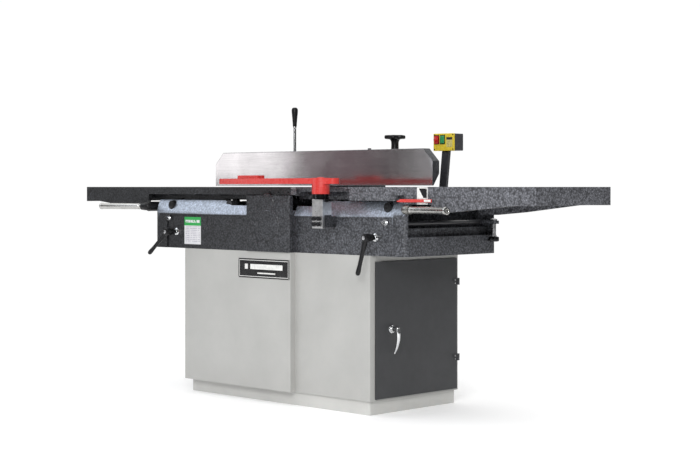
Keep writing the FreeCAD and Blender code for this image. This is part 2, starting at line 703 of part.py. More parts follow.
def make_fence():
    back = FENCE_FACE + FENCE_DEPTH
    plate = prism("y", fence_outline(0), (FENCE_FACE, back))
    plate = plate.cut(prism("y", fence_outline(12), (FENCE_FACE + 8, back + 1)))
    ribs = [
        box((x - 5, x + 5), (FENCE_FACE + 7, back - 5), (FENCE_BOTTOM + 10, FENCE_TOP - 10))
        for x in (-480, -320, -80, 80, 260, 420)
    ]
    lugs = []
    for side in (-1, 1):
        for offset in (14.3, -14.3):
            x = side * EAR_X + offset
            span = (x - 6, x + 6)
            lugs.append(rod("x", (TILT_Y, TILT_Z), span, 14))
            lugs.append(box(span, (FENCE_FACE + 7, TILT_Y), (TILT_Z - 14, TILT_Z + 14)))
    wedge = [(FENCE_FACE + 6, 830), (60, 830), (60, 892), (back, 880), (FENCE_FACE + 6, 835)]
    plate = fused([plate] + ribs + lugs).cut(prism("x", wedge, (FENCE_LEFT - 1, FENCE_RIGHT + 1)))
    bores = [rod("x", (TILT_Y, TILT_Z), (side * EAR_X - 30, side * EAR_X + 30), 8 + RUNNING_GAP)
             for side in (-1, 1)]
    keep("fence_plate", plate.cut(group(bores)))

    solids = [
        box((-RAM_HALF, RAM_HALF), (102, 450), (RAM_LOW, RAM_HIGH)),
        box((-48, 48), (102, 165), (RAM_HIGH - 1, 900)),
        rounded_block((-300, 340), (102, 130), (884, 912), 6),
    ]
    for side in (-1, 1):
        x = (side * EAR_X - 8, side * EAR_X + 8)
        solids.append(box(x, (TILT_Y, 104), (TILT_Z - 11, TILT_Z + 11)))
        solids.append(rod("x", (TILT_Y, TILT_Z), x, 12))
    for x in (LOCK_X - 19, LOCK_X + 10.3):
        solids.append(box((x, x + 8.7), (104, 128), (910, 940)))
    solids.append(rod("z", (KNOB_X, LOCK_Y), (910, 975), 10))
    carriage = fused(solids)
    for side in (-1, 1):
        x = (side * EAR_X - 9, side * EAR_X + 9)
        carriage = carriage.cut(rod("x", (TILT_Y, TILT_Z), x, 8))
    carriage = carriage.cut(rod("x", (LOCK_Y, LOCK_Z), (LOCK_X - 25, LOCK_X + 25), 5))
    carriage = carriage.cut(rod("z", (KNOB_X, LOCK_Y), (940, 976), 5.1))
    keep("fence_carriage", carriage)
    pins = [rod("x", (TILT_Y, TILT_Z), (side * EAR_X - 22, side * EAR_X + 22), 8) for side in (-1, 1)]
    pins.append(rod("x", (LOCK_Y, LOCK_Z), (LOCK_X - 22, LOCK_X + 22), 5))
    keep("fence_pins", group(pins))

    hub = rod("x", (LOCK_Y, LOCK_Z), (LOCK_X - 10, LOCK_X + 10), 10)
    lever = fused([hub, rod("z", (LOCK_X, LOCK_Y), (LOCK_Z, 1080), 6)])
    keep("fence_lock_lever", lever.cut(rod("x", (LOCK_Y, LOCK_Z), (LOCK_X - 12, LOCK_X + 12), 5.08)))
    grip = fused([
        Part.makeCone(8, 13, 62, V(LOCK_X, LOCK_Y, 1080)),
        Part.makeSphere(13, V(LOCK_X, LOCK_Y, 1146)),
        rod("z", (LOCK_X, LOCK_Y), (1142, 1146), 13),
    ])
    keep("fence_lock_grip", grip.cut(rod("z", (LOCK_X, LOCK_Y), (1070, 1080), 6)))

    rim = (KNOB_TOP - 14, KNOB_TOP)
    lobes = [
        rod("z", (KNOB_X + 32 * math.cos(math.radians(a)), LOCK_Y + 32 * math.sin(math.radians(a))), rim, 11)
        for a in range(0, 360, 60)
    ]
    knob = fused([
        rod("z", (KNOB_X, LOCK_Y), rim, 31),
        Part.makeCone(15, 26, 10, V(KNOB_X, LOCK_Y, rim[0] - 9)),
        rod("z", (KNOB_X, LOCK_Y), (KNOB_FOOT, rim[0] - 8), 15),
        rod("z", (KNOB_X, LOCK_Y), (945, KNOB_FOOT + 1), 5),
    ] + lobes)
    keep("tilt_lock_knob", knob)


def make_fence_guide():
    floor_top = RAM_LOW - 0.3
    guide = [
        box((-121, 121), (176, CASTING_BACK), (827, floor_top)),
        box((-121, -RAM_HALF - 0.3), (176, CASTING_BACK), (827, 872)),
        box((RAM_HALF + 0.3, 121), (176, CASTING_BACK), (827, 872)),
        box((-121, -92), (176, CASTING_BACK), (WALL_TOP, 828)),
        box((92, 121), (176, CASTING_BACK), (WALL_TOP, 828)),
    ]
    keep("fence_guide", fused(guide))
    keepers = []
    for side in (-1, 1):
        x = tuple(sorted((side * 52, side * 121)))
        strip = [box(x, (176, CASTING_BACK), (872, 879))]
        strip += [rod("z", (side * 98, y), (879, 883), 6) for y in (194, 236)]
        keepers.append(fused(strip))
    keep("guide_keepers", group(keepers))


# ---------------------------------------------------------------- cutter guard
def make_guard():
    post = (GUARD_X, GUARD_Y)
    bar = box((295, 349), (-328, -316), (678, 785))
    stand_off = box((299, 345), (-316, WING_FRONT_RIGHT), (682, 722))
    web = box((301, 343), (-317, TABLE_FRONT - 2), (721, 776))
    keep("guard_bracket", fused([softened(bar, 1.5), stand_off, web]))
    screws = []
    for x in (310, 334):
        for z in (693, 714):
            head = rod("y", (x, z), (-338, -328), 8)
            screws.append(head.cut(prism("y", hexagon((x, z), 4), (-339, -332))))
    keep("guard_bracket_screws", group(screws))
    collar = fused([
        rod("z", post, (785, 803.5), 29),
        rod("z", post, (803, 856), 10),
    ])
    keep("guard_post", collar)

    hub = rod("z", post, (804, 863), 33)
    leaf_low = 841.0
    leaf_high = 862.0
    outline = [
        V(GUARD_X, GUARD_Y - 32, leaf_low),
        V(40, GUARD_Y - 32, leaf_low),
        V(-226, -322, leaf_low),
        V(-250, -296, leaf_low),
        V(-228, -268, leaf_low),
        V(-60, -242, leaf_low),
        V(120, -238, leaf_low),
        V(300, -268, leaf_low),
        V(372, -282, leaf_low),
        V(404, -298, leaf_low),
        V(384, -330, leaf_low),
    ]
    edges = [
        Part.makeLine(outline[0], outline[1]),
        Part.makeLine(outline[1], outline[2]),
        Part.Arc(outline[2], outline[3], outline[4]).toShape(),
        Part.Arc(outline[4], outline[5], outline[6]).toShape(),
        Part.makeLine(outline[6], outline[7]),
        Part.makeLine(outline[7], outline[8]),
        Part.Arc(outline[8], outline[9], outline[10]).toShape(),
        Part.makeLine(outline[10], outline[0]),
    ]
    leaf = Part.Face(Part.Wire(edges)).extrude(V(0, 0, leaf_high - leaf_low))
    pad = rounded_block((-118, 0), (-334, -290), (leaf_high - 1, 874), 10)
    guard = fused([leaf, hub, pad])
    bore = rod("z", post, (803, 857), 10 + RUNNING_GAP)
    hollow = Part.Face(Part.Wire(edges)).makeOffset2D(-5).extrude(V(0, 0, leaf_high - leaf_low - 5))
    keep("cutter_guard", guard.cut(hollow.cut(rod("z", post, (800, 870), 33))).cut(bore))


# ---------------------------------------------------------------- switch and depth stop
def make_switch():
    low, high = SWITCH_Z
    post = prism("y", [(393, 700), (428, 700), (457, low), (422, low)], (254, 266))
    foot = box((387, 434), (254, 270), (640, 701))
    keep("switch_post", fused([post, foot]))
    case = softened(box(SWITCH_X, SWITCH_Y, SWITCH_Z), 3)
    wells = [box((x[0] - 3, x[1] + 3), (230, 246), (BUTTON_Z[0] - 3, BUTTON_Z[1] + 3))
             for x in (STOP_BUTTON_X, START_BUTTON_X)]
    keep("switch_box", case.cut(group(wells)))
    plate = softened(box((SWITCH_X[0] - 2, SWITCH_X[1] + 2), (231, SWITCH_Y[0]), (low - 0.5, high + 1)), 2)
    windows = [box((x[0] - 1, x[1] + 1), (229, 240), (BUTTON_Z[0] - 1, BUTTON_Z[1] + 1))
               for x in (STOP_BUTTON_X, START_BUTTON_X)]
    keep("switch_faceplate", plate.cut(group(windows)))
    middle = (sum(STOP_BUTTON_X) / 2, sum(BUTTON_Z) / 2)
    stop = fused([box(STOP_BUTTON_X, (226, 240), BUTTON_Z), rod("y", middle, (222, 227), 9)])
    keep("stop_button", stop)
    keep("start_button", softened(box(START_BUTTON_X, (227, 240), BUTTON_Z), 2))


def make_depth_stop():
    at = (STOP_X, STOP_Y)
    solids = [rod("z", at, (640, STOP_LUG[1] + 8), STOP_R), rod("z", at, (626, 645), 16)]
    for a in range(0, 360, 90):
        angle = math.radians(a)
        solids.append(
            rod("z", (at[0] + 14 * math.cos(angle), at[1] + 14 * math.sin(angle)), (626, 641), 7)
        )
    keep("depth_stop_screw", fused(solids))


def make_all():
    make_plinth()
    make_cabinet()
    make_door()
    make_casting()
    make_casting_fittings()
    make_clamp_lever("outfeed_clamp_lever", -1, WING_FRONT_LEFT, 48.0)
    make_clamp_lever("infeed_clamp_lever", 1, WING_FRONT_RIGHT, 12.0)
    make_tables()
    make_crank("outfeed_outer_crank", -1, OUTER_SHAFT_X, WING_FRONT_LEFT, 0.0)
    make_crank("outfeed_inner_crank", -1, INNER_SHAFT_X, WING_FRONT_LEFT, 0.0)
    make_crank("infeed_outer_crank", 1, OUTER_SHAFT_X, WING_FRONT_RIGHT, INFEED_CRANK_DEG)
    make_crank("infeed_inner_crank", 1, INNER_SHAFT_X, WING_FRONT_RIGHT, INFEED_CRANK_DEG)
    make_lift_lever("outfeed", -1, -300.0, 14.0)
    make_lift_lever("infeed", 1, -277.0, 14.0)
    make_cutterhead()
    make_drive()
    make_dust_path()
    make_fence()
    make_fence_guide()
    make_guard()
    make_switch()
    make_depth_stop()


make_all()
os.makedirs("parts", exist_ok=True)
for name, shape in PARTS.items():
    shape.exportStep(os.path.join("parts", name + ".step"))
    print(name, len(shape.Solids), shape.isValid(), round(shape.Volume / 1000.0, 1), "cm3")
print(len(PARTS), "nodes")
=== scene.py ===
import math

import bmesh
import bpy
from mathutils import Matrix, Vector


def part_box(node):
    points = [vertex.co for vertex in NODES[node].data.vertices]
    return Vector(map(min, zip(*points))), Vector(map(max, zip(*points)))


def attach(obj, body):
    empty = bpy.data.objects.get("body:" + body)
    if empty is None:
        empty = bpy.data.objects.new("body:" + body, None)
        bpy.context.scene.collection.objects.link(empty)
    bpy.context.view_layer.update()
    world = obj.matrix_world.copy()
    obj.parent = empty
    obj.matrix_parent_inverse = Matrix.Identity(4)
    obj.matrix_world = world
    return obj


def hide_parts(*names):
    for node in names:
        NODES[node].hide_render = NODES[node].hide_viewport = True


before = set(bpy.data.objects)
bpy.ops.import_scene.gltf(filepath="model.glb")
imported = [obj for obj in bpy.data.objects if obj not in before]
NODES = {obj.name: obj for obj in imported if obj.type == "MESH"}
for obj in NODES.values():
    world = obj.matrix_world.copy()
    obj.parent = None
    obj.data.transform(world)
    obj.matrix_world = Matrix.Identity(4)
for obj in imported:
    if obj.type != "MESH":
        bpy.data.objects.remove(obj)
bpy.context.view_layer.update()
MM = 0.001
UP = Vector((0, 0, 1))
INK_EDGE = 0.0003                       # half the soft edge of a printed line, in metres
SLOPE_WAY = (0, -0.89, 0.456)           # which way the wings' sloped shoulders face
DIMPLES_PER_METRE = 150
NEAR_BLACK = (0.012, 0.012, 0.013)
FLOOR_DUST = (0.33, 0.30, 0.26)
DUST_REACH = 0.16                       # how far up the cabinet the dust climbs, in metres
ENAMEL_PEEL_SCALE = 900


# ---------------------------------------------------------------- materials

class Look:
    """A node material built up layer by layer, in metres in the object's own frame."""

    def __init__(self, name, metallic=0.0, specular=0.5, coat=0.0, coat_roughness=0.08):
        self.material = bpy.data.materials.new(name)
        self.material.use_nodes = True
        self.nodes = self.material.node_tree.nodes
        self.links = self.material.node_tree.links
        self.shader = self.nodes["Principled BSDF"]
        self.shader.inputs["Metallic"].default_value = metallic
        self.shader.inputs["Specular IOR Level"].default_value = specular
        self.shader.inputs["Coat Weight"].default_value = coat
        self.shader.inputs["Coat Roughness"].default_value = coat_roughness
        self.where = self.nodes.new("ShaderNodeTexCoord")
        self.height = None

    def feed(self, node, socket, value):
        if isinstance(value, bpy.types.NodeSocket):
            self.links.new(value, node.inputs[socket])
        else:
            node.inputs[socket].default_value = value

    def place(self, stretch=(1, 1, 1)):
        mapping = self.nodes.new("ShaderNodeMapping")
        self.links.new(self.where.outputs["Object"], mapping.inputs["Vector"])
        mapping.inputs["Scale"].default_value = stretch
        return mapping.outputs["Vector"]

    def noise(self, scale, detail=3.0, rough=0.5, stretch=(1, 1, 1)):
        node = self.nodes.new("ShaderNodeTexNoise")
        self.links.new(self.place(stretch), node.inputs["Vector"])
        node.inputs["Scale"].default_value = scale
        node.inputs["Detail"].default_value = detail
        node.inputs["Roughness"].default_value = rough
        return node.outputs["Fac"]

    def cells(self, scale, smooth):
        node = self.nodes.new("ShaderNodeTexVoronoi")
        node.feature = "SMOOTH_F1"
        self.links.new(self.place(), node.inputs["Vector"])
        node.inputs["Scale"].default_value = scale
        node.inputs["Smoothness"].default_value = smooth
        return node.outputs["Distance"]

    def ramp(self, factor, *stops):
        node = self.nodes.new("ShaderNodeValToRGB")
        self.links.new(factor, node.inputs["Fac"])
        points = node.color_ramp.elements
        for _ in stops[2:]:
            points.new(0.5)
        for point, (position, colour) in zip(points, stops):
            point.position = position
            shade = colour if isinstance(colour, tuple) else (colour,) * 3
            point.color = (*shade, 1)
        return node.outputs["Color"]

    def maths(self, operation, first, second):
        node = self.nodes.new("ShaderNodeMath")
        node.operation = operation
        self.feed(node, 0, first)
        self.feed(node, 1, second)
        return node.outputs["Value"]

    def span(self, value, low, high, to_low=0.0, to_high=1.0):
        node = self.nodes.new("ShaderNodeMapRange")
        node.clamp = True
        self.feed(node, "Value", value)
        node.inputs["From Min"].default_value = low
        node.inputs["From Max"].default_value = high
        node.inputs["To Min"].default_value = to_low
        node.inputs["To Max"].default_value = to_high
        return node.outputs["Result"]

    def mix(self, factor, first, second, blend="MIX"):
        node = self.nodes.new("ShaderNodeMix")
        node.data_type = "RGBA"
        node.blend_type = blend
        self.feed(node, "Factor", factor)
        for socket, value in ((6, first), (7, second)):
            if isinstance(value, bpy.types.NodeSocket):
                self.links.new(value, node.inputs[socket])
            else:
                node.inputs[socket].default_value = (*value, 1)
        return node.outputs[2]

    def axis(self, name):
        node = self.nodes.new("ShaderNodeSeparateXYZ")
        self.links.new(self.where.outputs["Object"], node.inputs["Vector"])
        return node.outputs[name]

    def facing(self, direction, start=0.90, end=0.985):
        """1 where the surface faces that way, such as a ground face, and 0 elsewhere."""
        node = self.nodes.new("ShaderNodeVectorMath")
        node.operation = "DOT_PRODUCT"
        self.links.new(self.where.outputs["Normal"], node.inputs[0])
        node.inputs[1].default_value = direction
        return self.span(node.outputs["Value"], start, end)

    def band(self, value, low, high):
        """1 where the value lies between low and high."""
        rise = self.span(value, low - INK_EDGE, low + INK_EDGE)
        fall = self.span(value, high - INK_EDGE, high + INK_EDGE, 1, 0)
        return self.maths("MULTIPLY", rise, fall)

    def colour(self, value):
        self.feed(self.shader, "Base Color", value)

    def rough(self, value):
        self.feed(self.shader, "Roughness", value)

    def metal(self, value):
        self.feed(self.shader, "Metallic", value)

    def bump(self, height, strength, distance):
        node = self.nodes.new("ShaderNodeBump")
        self.links.new(height, node.inputs["Height"])
        self.feed(node, "Strength", strength)
        node.inputs["Distance"].default_value = distance
        if self.height is not None:
            self.links.new(self.height, node.inputs["Normal"])
        self.height = node.outputs["Normal"]
        self.links.new(self.height, self.shader.inputs["Normal"])


def paint(name, colour, depth=0.06, rough=0.34, peel=0.25, coat=0.25, dust=0.0):
    """A sprayed enamel: slow drift in its colour, orange peel, and dust towards the floor."""
    look = Look(name, coat=coat, coat_roughness=0.16)
    low = tuple(c * (1 - depth) for c in colour)
    high = tuple(min(1, c * (1 + depth)) for c in colour)
    drift = look.ramp(look.noise(5, 4, 0.6), (0.3, low), (0.7, high))
    speck = look.ramp(look.noise(1400, 2, 0.6), (0.35, 0.94), (0.62, 1.0))
    base = look.mix(0.5, drift, speck, "MULTIPLY")
    if dust:
        reach = look.span(look.axis("Z"), DUST_REACH, 0.0)
        patch = look.maths("MULTIPLY", reach, look.noise(38, 5, 0.65))
        base = look.mix(look.maths("MULTIPLY", patch, dust), base, FLOOR_DUST)
    look.colour(base)
    look.rough(look.span(look.noise(26, 5, 0.6), 0.3, 0.7, rough - 0.05, rough + 0.09))
    look.bump(look.noise(ENAMEL_PEEL_SCALE, 2, 0.5), peel, 0.0002)
    look.bump(look.noise(7, 2, 0.5), 0.12, 0.002)
    return look.material


def hammered(look, colour):
    """Hammered enamel: shallow round dimples with a painted highlight at their crowns and painted shade at
    their rims, and painted shade on faces that look down.
    """
    dimple = look.cells(DIMPLES_PER_METRE, smooth=0.8)
    # painted light: each dimple's crown is lightened as a painted highlight and its rim is darkened as
    # painted shade
    painted_dimple_light = look.ramp(dimple, (0.10, 1.75), (0.40, 0.92), (0.72, 0.38))
    drift = look.ramp(look.noise(34, 5, 0.65), (0.28, 0.72), (0.72, 1.3))
    base = look.mix(1.0, look.mix(1.0, colour, painted_dimple_light, "MULTIPLY"), drift, "MULTIPLY")
    # painted shade: faces that look down are blended to near black, where shade falls under the casting
    painted_underside_shade = look.facing((0, 0, -1), 0.3, 0.8)
    return look.mix(painted_underside_shade, base, NEAR_BLACK), dimple


def casting(name, colour, rough=0.34):
    """Hammered enamel, paler towards the infeed side as painted light, and silvery on the wings' sloped
    shoulders, whose paleness is partly painted light from above.
    """
    look = Look(name, specular=0.38)
    base, dimple = hammered(look, colour)
    # painted light: the enamel is scaled from dark on the outfeed side to pale on the infeed side, where the
    # light falls brighter
    along = look.span(look.axis("X"), -0.7, 0.7)
    shade = look.ramp(along, (0.0, 0.42), (0.5, 0.84), (0.78, 1.75))
    slope = look.facing(SLOPE_WAY, 0.955, 0.985)
    # the shoulders' silver is the enamel made nine times paler: partly a bare silvery finish, partly painted
    # light from above
    slope_painted_light = look.mix(1.0, base, (9.0, 9.6, 10.2), "MULTIPLY")
    silver = look.mix(0.55, slope_painted_light, (0.40, 0.44, 0.50))
    look.colour(look.mix(slope, look.mix(1.0, base, shade, "MULTIPLY"), silver))
    look.metal(look.span(slope, 0, 1, 0.1, 0.75))
    look.rough(look.span(look.noise(30, 4, 0.6), 0.3, 0.7, rough, rough + 0.14))
    look.bump(look.noise(12, 3, 0.5), 0.2, 0.003)
    look.bump(dimple, 0.7, 0.0010)
    return look.material


def ground_and_hammered(name, colour, ground, direction, along, rough=0.2, wear=0.12):
    """Iron with one ground face, whose grinding lines run along it, and hammered sides."""
    look = Look(name, specular=0.42)
    face = look.facing(direction)
    base, dimple = hammered(look, colour)
    lines = look.noise(1.0, 3, 0.7, stretch=along)
    fine = look.noise(1.0, 2, 0.7, stretch=tuple(4 * s for s in along))
    cloud = look.ramp(look.noise(7, 5, 0.6), (0.3, 0.90), (0.7, 1.06))
    bright = tuple(min(1, c * 1.10) for c in ground)
    dull = tuple(c * 0.86 for c in ground)
    polished = look.mix(1.0, look.ramp(lines, (0.3, dull), (0.7, bright)), cloud, "MULTIPLY")
    look.colour(look.mix(face, base, polished))
    look.metal(look.span(face, 0, 1, 0.1, 1.0))
    worn = look.span(look.noise(9, 5, 0.6), 0.3, 0.7, rough, rough + wear)
    painted = look.span(look.noise(30, 4, 0.6), 0.3, 0.7, 0.34, 0.48)
    blend = look.nodes.new("ShaderNodeMix")
    look.feed(blend, "Factor", face)
    look.feed(blend, 2, painted)
    look.feed(blend, 3, worn)
    look.rough(blend.outputs[0])
    sides = look.maths("SUBTRACT", 1.0, face)
    look.bump(dimple, look.maths("MULTIPLY", sides, 0.75), 0.0011)
    look.bump(fine, look.maths("MULTIPLY", face, 0.22), 0.00006)
    return look.material


def turned(name, colour, rough=0.2, lines=(900, 900, 900), scratch=0.12):
    """Bare turned or plated metal with fine tool marks, smudges and a few scratches."""
    look = Look(name, metallic=1.0)
    low = tuple(c * 0.82 for c in colour)
    shade = look.ramp(look.noise(60, 5, 0.6), (0.3, low), (0.65, colour))
    look.colour(shade)
    look.rough(look.span(look.noise(45, 5, 0.65), 0.3, 0.75, rough * 0.7, rough * 1.7))
    look.bump(look.noise(1.0, 3, 0.6, stretch=lines), scratch, 0.00008)
    return look.material


def plastic(name, colour, rough=0.35, grain=0.3, coat=0.0, specular=0.5):
    """Moulded plastic with a fine grain."""
    look = Look(name, specular=specular, coat=coat)
    low = tuple(c * 0.86 for c in colour)
    high = tuple(min(1, c * 1.12 + 0.002) for c in colour)
    look.colour(look.ramp(look.noise(90, 4, 0.6), (0.3, low), (0.7, high)))
    look.rough(look.span(look.noise(120, 4, 0.6), 0.3, 0.7, rough - 0.06, rough + 0.12))
    look.bump(look.noise(2600, 2, 0.6), grain, 0.00012)
    return look.material


def bracket_steel():
    """A ground steel bar in front of a painted cast pad, which ends below the bar's top."""
    pad_front, pad_top, blend = -0.3156, 0.7271, 0.0003
    look = Look("bracket_steel", specular=0.42)
    behind = look.span(look.axis("Y"), pad_front - 0.0002, pad_front + 0.0002)
    below = look.span(look.axis("Z"), pad_top - blend, pad_top + blend, 1, 0)
    pad = look.maths("MULTIPLY", behind, below)
    base, dimple = hammered(look, CASTING_GREY)
    steel = look.ramp(look.noise(60, 5, 0.6), (0.3, 0.42), (0.65, 0.60))
    look.colour(look.mix(pad, steel, base))
    look.metal(look.span(pad, 0, 1, 1.0, 0.1))
    look.rough(look.span(look.noise(45, 5, 0.65), 0.3, 0.75, 0.26, 0.42))
    look.bump(dimple, look.maths("MULTIPLY", pad, 0.7), 0.001)
    return look.material


def pointer_red():
    """A red blade in front of its black foot."""
    foot_front, blend = -0.2766, 0.0002
    look = Look("pointer_red", coat=0.2)
    foot = look.span(look.axis("Y"), foot_front - blend, foot_front + blend)
    red = look.ramp(look.noise(90, 4, 0.6), (0.3, (0.50, 0.03, 0.025)), (0.7, (0.66, 0.05, 0.04)))
    look.colour(look.mix(foot, red, NEAR_BLACK))
    look.rough(look.span(look.noise(120, 4, 0.6), 0.3, 0.7, 0.24, 0.4))
    look.bump(look.noise(2600, 2, 0.6), 0.3, 0.00012)
    return look.material


def printed(name, paper, header, ink, across, up, header_from, pitch):
    """A printed sheet: a coloured header with pale bars, and rows of broken lines for its text.

    across is the text's left and right end, up is the height of its lowest row, header_from is
    where the header starts and pitch is the step from row to row, all in metres.
    """
    look = Look(name, coat=0.3)
    x, z = look.axis("X"), look.axis("Z")
    words = look.span(look.noise(1.0, 1, 0.5, stretch=(230, 1, 70)), 0.44, 0.46)
    inside = look.band(x, *across)
    rows = look.band(look.maths("MODULO", z, pitch), pitch * 0.30, pitch * 0.64)
    text = look.maths("MULTIPLY", look.maths("MULTIPLY", rows, words), inside)
    text = look.maths("MULTIPLY", text, look.band(z, up, header_from - 0.003))
    sheet = look.mix(look.maths("MULTIPLY", text, 0.75), paper, ink)
    title = look.maths("MULTIPLY", look.band(z, header_from + 0.012, header_from + 0.023), words)
    title = look.maths("MULTIPLY", title, inside)
    head = look.span(z, header_from, header_from + 0.0004)
    sheet = look.mix(head, sheet, look.mix(title, header, paper))
    grime = look.ramp(look.noise(55, 4, 0.6), (0.3, 0.90), (0.7, 1.0))
    look.colour(look.mix(1.0, sheet, grime, "MULTIPLY"))
    look.rough(look.span(look.noise(80, 4, 0.6), 0.3, 0.7, 0.28, 0.42))
    look.bump(look.noise(300, 2, 0.5), 0.15, 0.0002)
    return look.material


CASTING_GREY = (0.046, 0.048, 0.054)
# painted light: the outfeed table's iron is a darker copy of the infeed table's, painted shade on the outfeed
# side and painted light on the infeed side
OUTFEED_SHADED_GREY = (0.023, 0.024, 0.027)
INFEED_LIT_GREY = (0.115, 0.118, 0.132)
GROUND_IRON = (0.60, 0.60, 0.61)
TABLE_LINES = (6, 700, 60)
MATERIALS = {
    "cabinet_paint": paint("cabinet_paint", (0.425, 0.425, 0.41), dust=0.1, coat=0.1),
    "door_paint": paint(
        "door_paint", (0.034, 0.035, 0.038), depth=0.1, rough=0.46, peel=0.5, coat=0.05),
    "hammered_casting": casting("hammered_casting", CASTING_GREY),
    "dark_steel": paint("dark_steel", (0.040, 0.041, 0.046), depth=0.15, rough=0.3, coat=0.3),
    "black_plastic": plastic(
        "black_plastic", (0.009, 0.009, 0.010), rough=0.3, specular=0.22),
    "black_screw": turned("black_screw", (0.045, 0.045, 0.048), rough=0.3),
    "chrome_steel": turned("chrome_steel", (0.70, 0.71, 0.72), rough=0.12, scratch=0.05),
    "turned_steel": turned("turned_steel", (0.52, 0.52, 0.53), rough=0.26),
    "red_plastic": pointer_red(),
    "name_plate_enamel": paint(
        "name_plate_enamel", (0.008, 0.008, 0.009), rough=0.2, coat=0.4),
    "belt_rubber": plastic("belt_rubber", (0.014, 0.014, 0.014), rough=0.62, grain=0.6),
    "motor_aluminium": paint("motor_aluminium", (0.20, 0.23, 0.27), depth=0.1, rough=0.4),
    "yellow_plastic": plastic("yellow_plastic", (0.74, 0.56, 0.03), rough=0.3, coat=0.15),
    "table_iron": ground_and_hammered(
        "table_iron", INFEED_LIT_GREY, GROUND_IRON, (0, 0, 1), TABLE_LINES),
    "scale_plate": plastic("scale_plate", (0.74, 0.74, 0.72), rough=0.34),
    "head_steel": turned(
        "head_steel", (0.44, 0.44, 0.46), rough=0.26, lines=(30, 900, 900)),
    "carbide": turned("carbide", (0.34, 0.34, 0.36), rough=0.18),
    "pulley_iron": turned(
        "pulley_iron", (0.22, 0.22, 0.23), rough=0.36, lines=(900, 60, 900)),
    "fence_iron": ground_and_hammered(
        "fence_iron", CASTING_GREY, (0.56, 0.54, 0.55), (0, -1, 0), (5, 60, 800),
        rough=0.10, wear=0.05),
    "guard_red": paint(
        "guard_red", (0.57, 0.042, 0.037), rough=0.26, peel=0.3, coat=0.4),
    "stop_red": plastic("stop_red", (0.55, 0.02, 0.02), rough=0.25, coat=0.3),
    "start_green": plastic("start_green", (0.02, 0.30, 0.10), rough=0.25, coat=0.3),
}
DARK_COLLAR = turned("dark_collar", (0.07, 0.07, 0.075), rough=0.1)
GRIP_STEEL = turned("grip_steel", (0.47, 0.465, 0.45), rough=0.2)
BOSS_STEEL = turned("boss_steel", (0.27, 0.265, 0.25), rough=0.3)
OILED_STEEL = turned("oiled_steel", (0.09, 0.09, 0.095), rough=0.3)
OWN_LOOK = {
    # the outfeed table's darker copy of table_iron, as painted shade
    "outfeed_table": ground_and_hammered(
        "outfeed_iron_shaded", OUTFEED_SHADED_GREY, GROUND_IRON, (0, 0, 1), TABLE_LINES),
    "plinth": paint("plinth_paint", (0.58, 0.58, 0.56), dust=0.1, coat=0.1),
    "switch_box": plastic("switch_grey", (0.045, 0.045, 0.052), rough=0.4),
    "guard_bracket": bracket_steel(),
    "guard_post": DARK_COLLAR,
    "end_tie_bars": MATERIALS["dark_steel"],
    "outfeed_outer_crank": OILED_STEEL,
    "outfeed_inner_crank": OILED_STEEL,
    "infeed_outer_crank": OILED_STEEL,
    "infeed_inner_crank": OILED_STEEL,
    "infeed_lever_arm": BOSS_STEEL,
    "outfeed_lever_arm": MATERIALS["black_plastic"],
}
LABEL = printed(
    "instruction_print", paper=(0.70, 0.70, 0.72), header=(0.03, 0.36, 0.08), ink=(0.25, 0.22, 0.32),
    across=(-0.501, -0.412), up=0.604, header_from=0.673, pitch=0.0074)
LABEL_REAR = printed(
    "rating_print", paper=(0.50, 0.51, 0.52), header=(0.10, 0.11, 0.12), ink=(0.05, 0.05, 0.06),
    across=(-0.374, -0.276), up=0.425, header_from=0.476, pitch=0.0062)
LABEL_SWITCH = printed(
    "switch_print", paper=(0.72, 0.62, 0.20), header=(0.02, 0.02, 0.02), ink=(0.03, 0.03, 0.03),
    across=(0.467, 0.491), up=0.986, header_from=1.012, pitch=0.0055)


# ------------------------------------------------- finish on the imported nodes

for name, node in NODES.items():
    for at, old in enumerate(m.name for m in node.data.materials):
        node.data.materials[at] = OWN_LOOK.get(name, MATERIALS[old.split(".")[0]])

EDGE_ANGLE_DEG = 32
EDGE_MM = {
    "plinth": 3.0, "base_casting": 3.0, "outfeed_table": 2.0, "infeed_table": 2.0, "fence_plate": 1.5,
    "fence_carriage": 2.0, "fence_guide": 1.5, "cutter_guard": 1.2, "switch_box": 2.5,
    "switch_faceplate": 1.5, "guard_bracket": 1.2, "name_plate": 0.4, "motor_bracket": 1.0,
    "cabinet_door": 1.2, "door_hinge_leaves": 0.8, "depth_scale": 0.4, "depth_pointer": 0.5,
}


def soften_edges(node, width):
    weld = node.modifiers.new("weld", "WELD")
    weld.merge_threshold = 0.01 * MM
    bevel = node.modifiers.new("edge", "BEVEL")
    bevel.width = width * MM
    bevel.segments = 2
    bevel.limit_method = "ANGLE"
    bevel.angle_limit = math.radians(EDGE_ANGLE_DEG)
    normals = node.modifiers.new("normals", "WEIGHTED_NORMAL")
    normals.weight = 80


for name, width in EDGE_MM.items():
    soften_edges(NODES[name], width)


# ------------------------------------------------------------ shapes of pieces

SHARP_ANGLE_DEG = 34


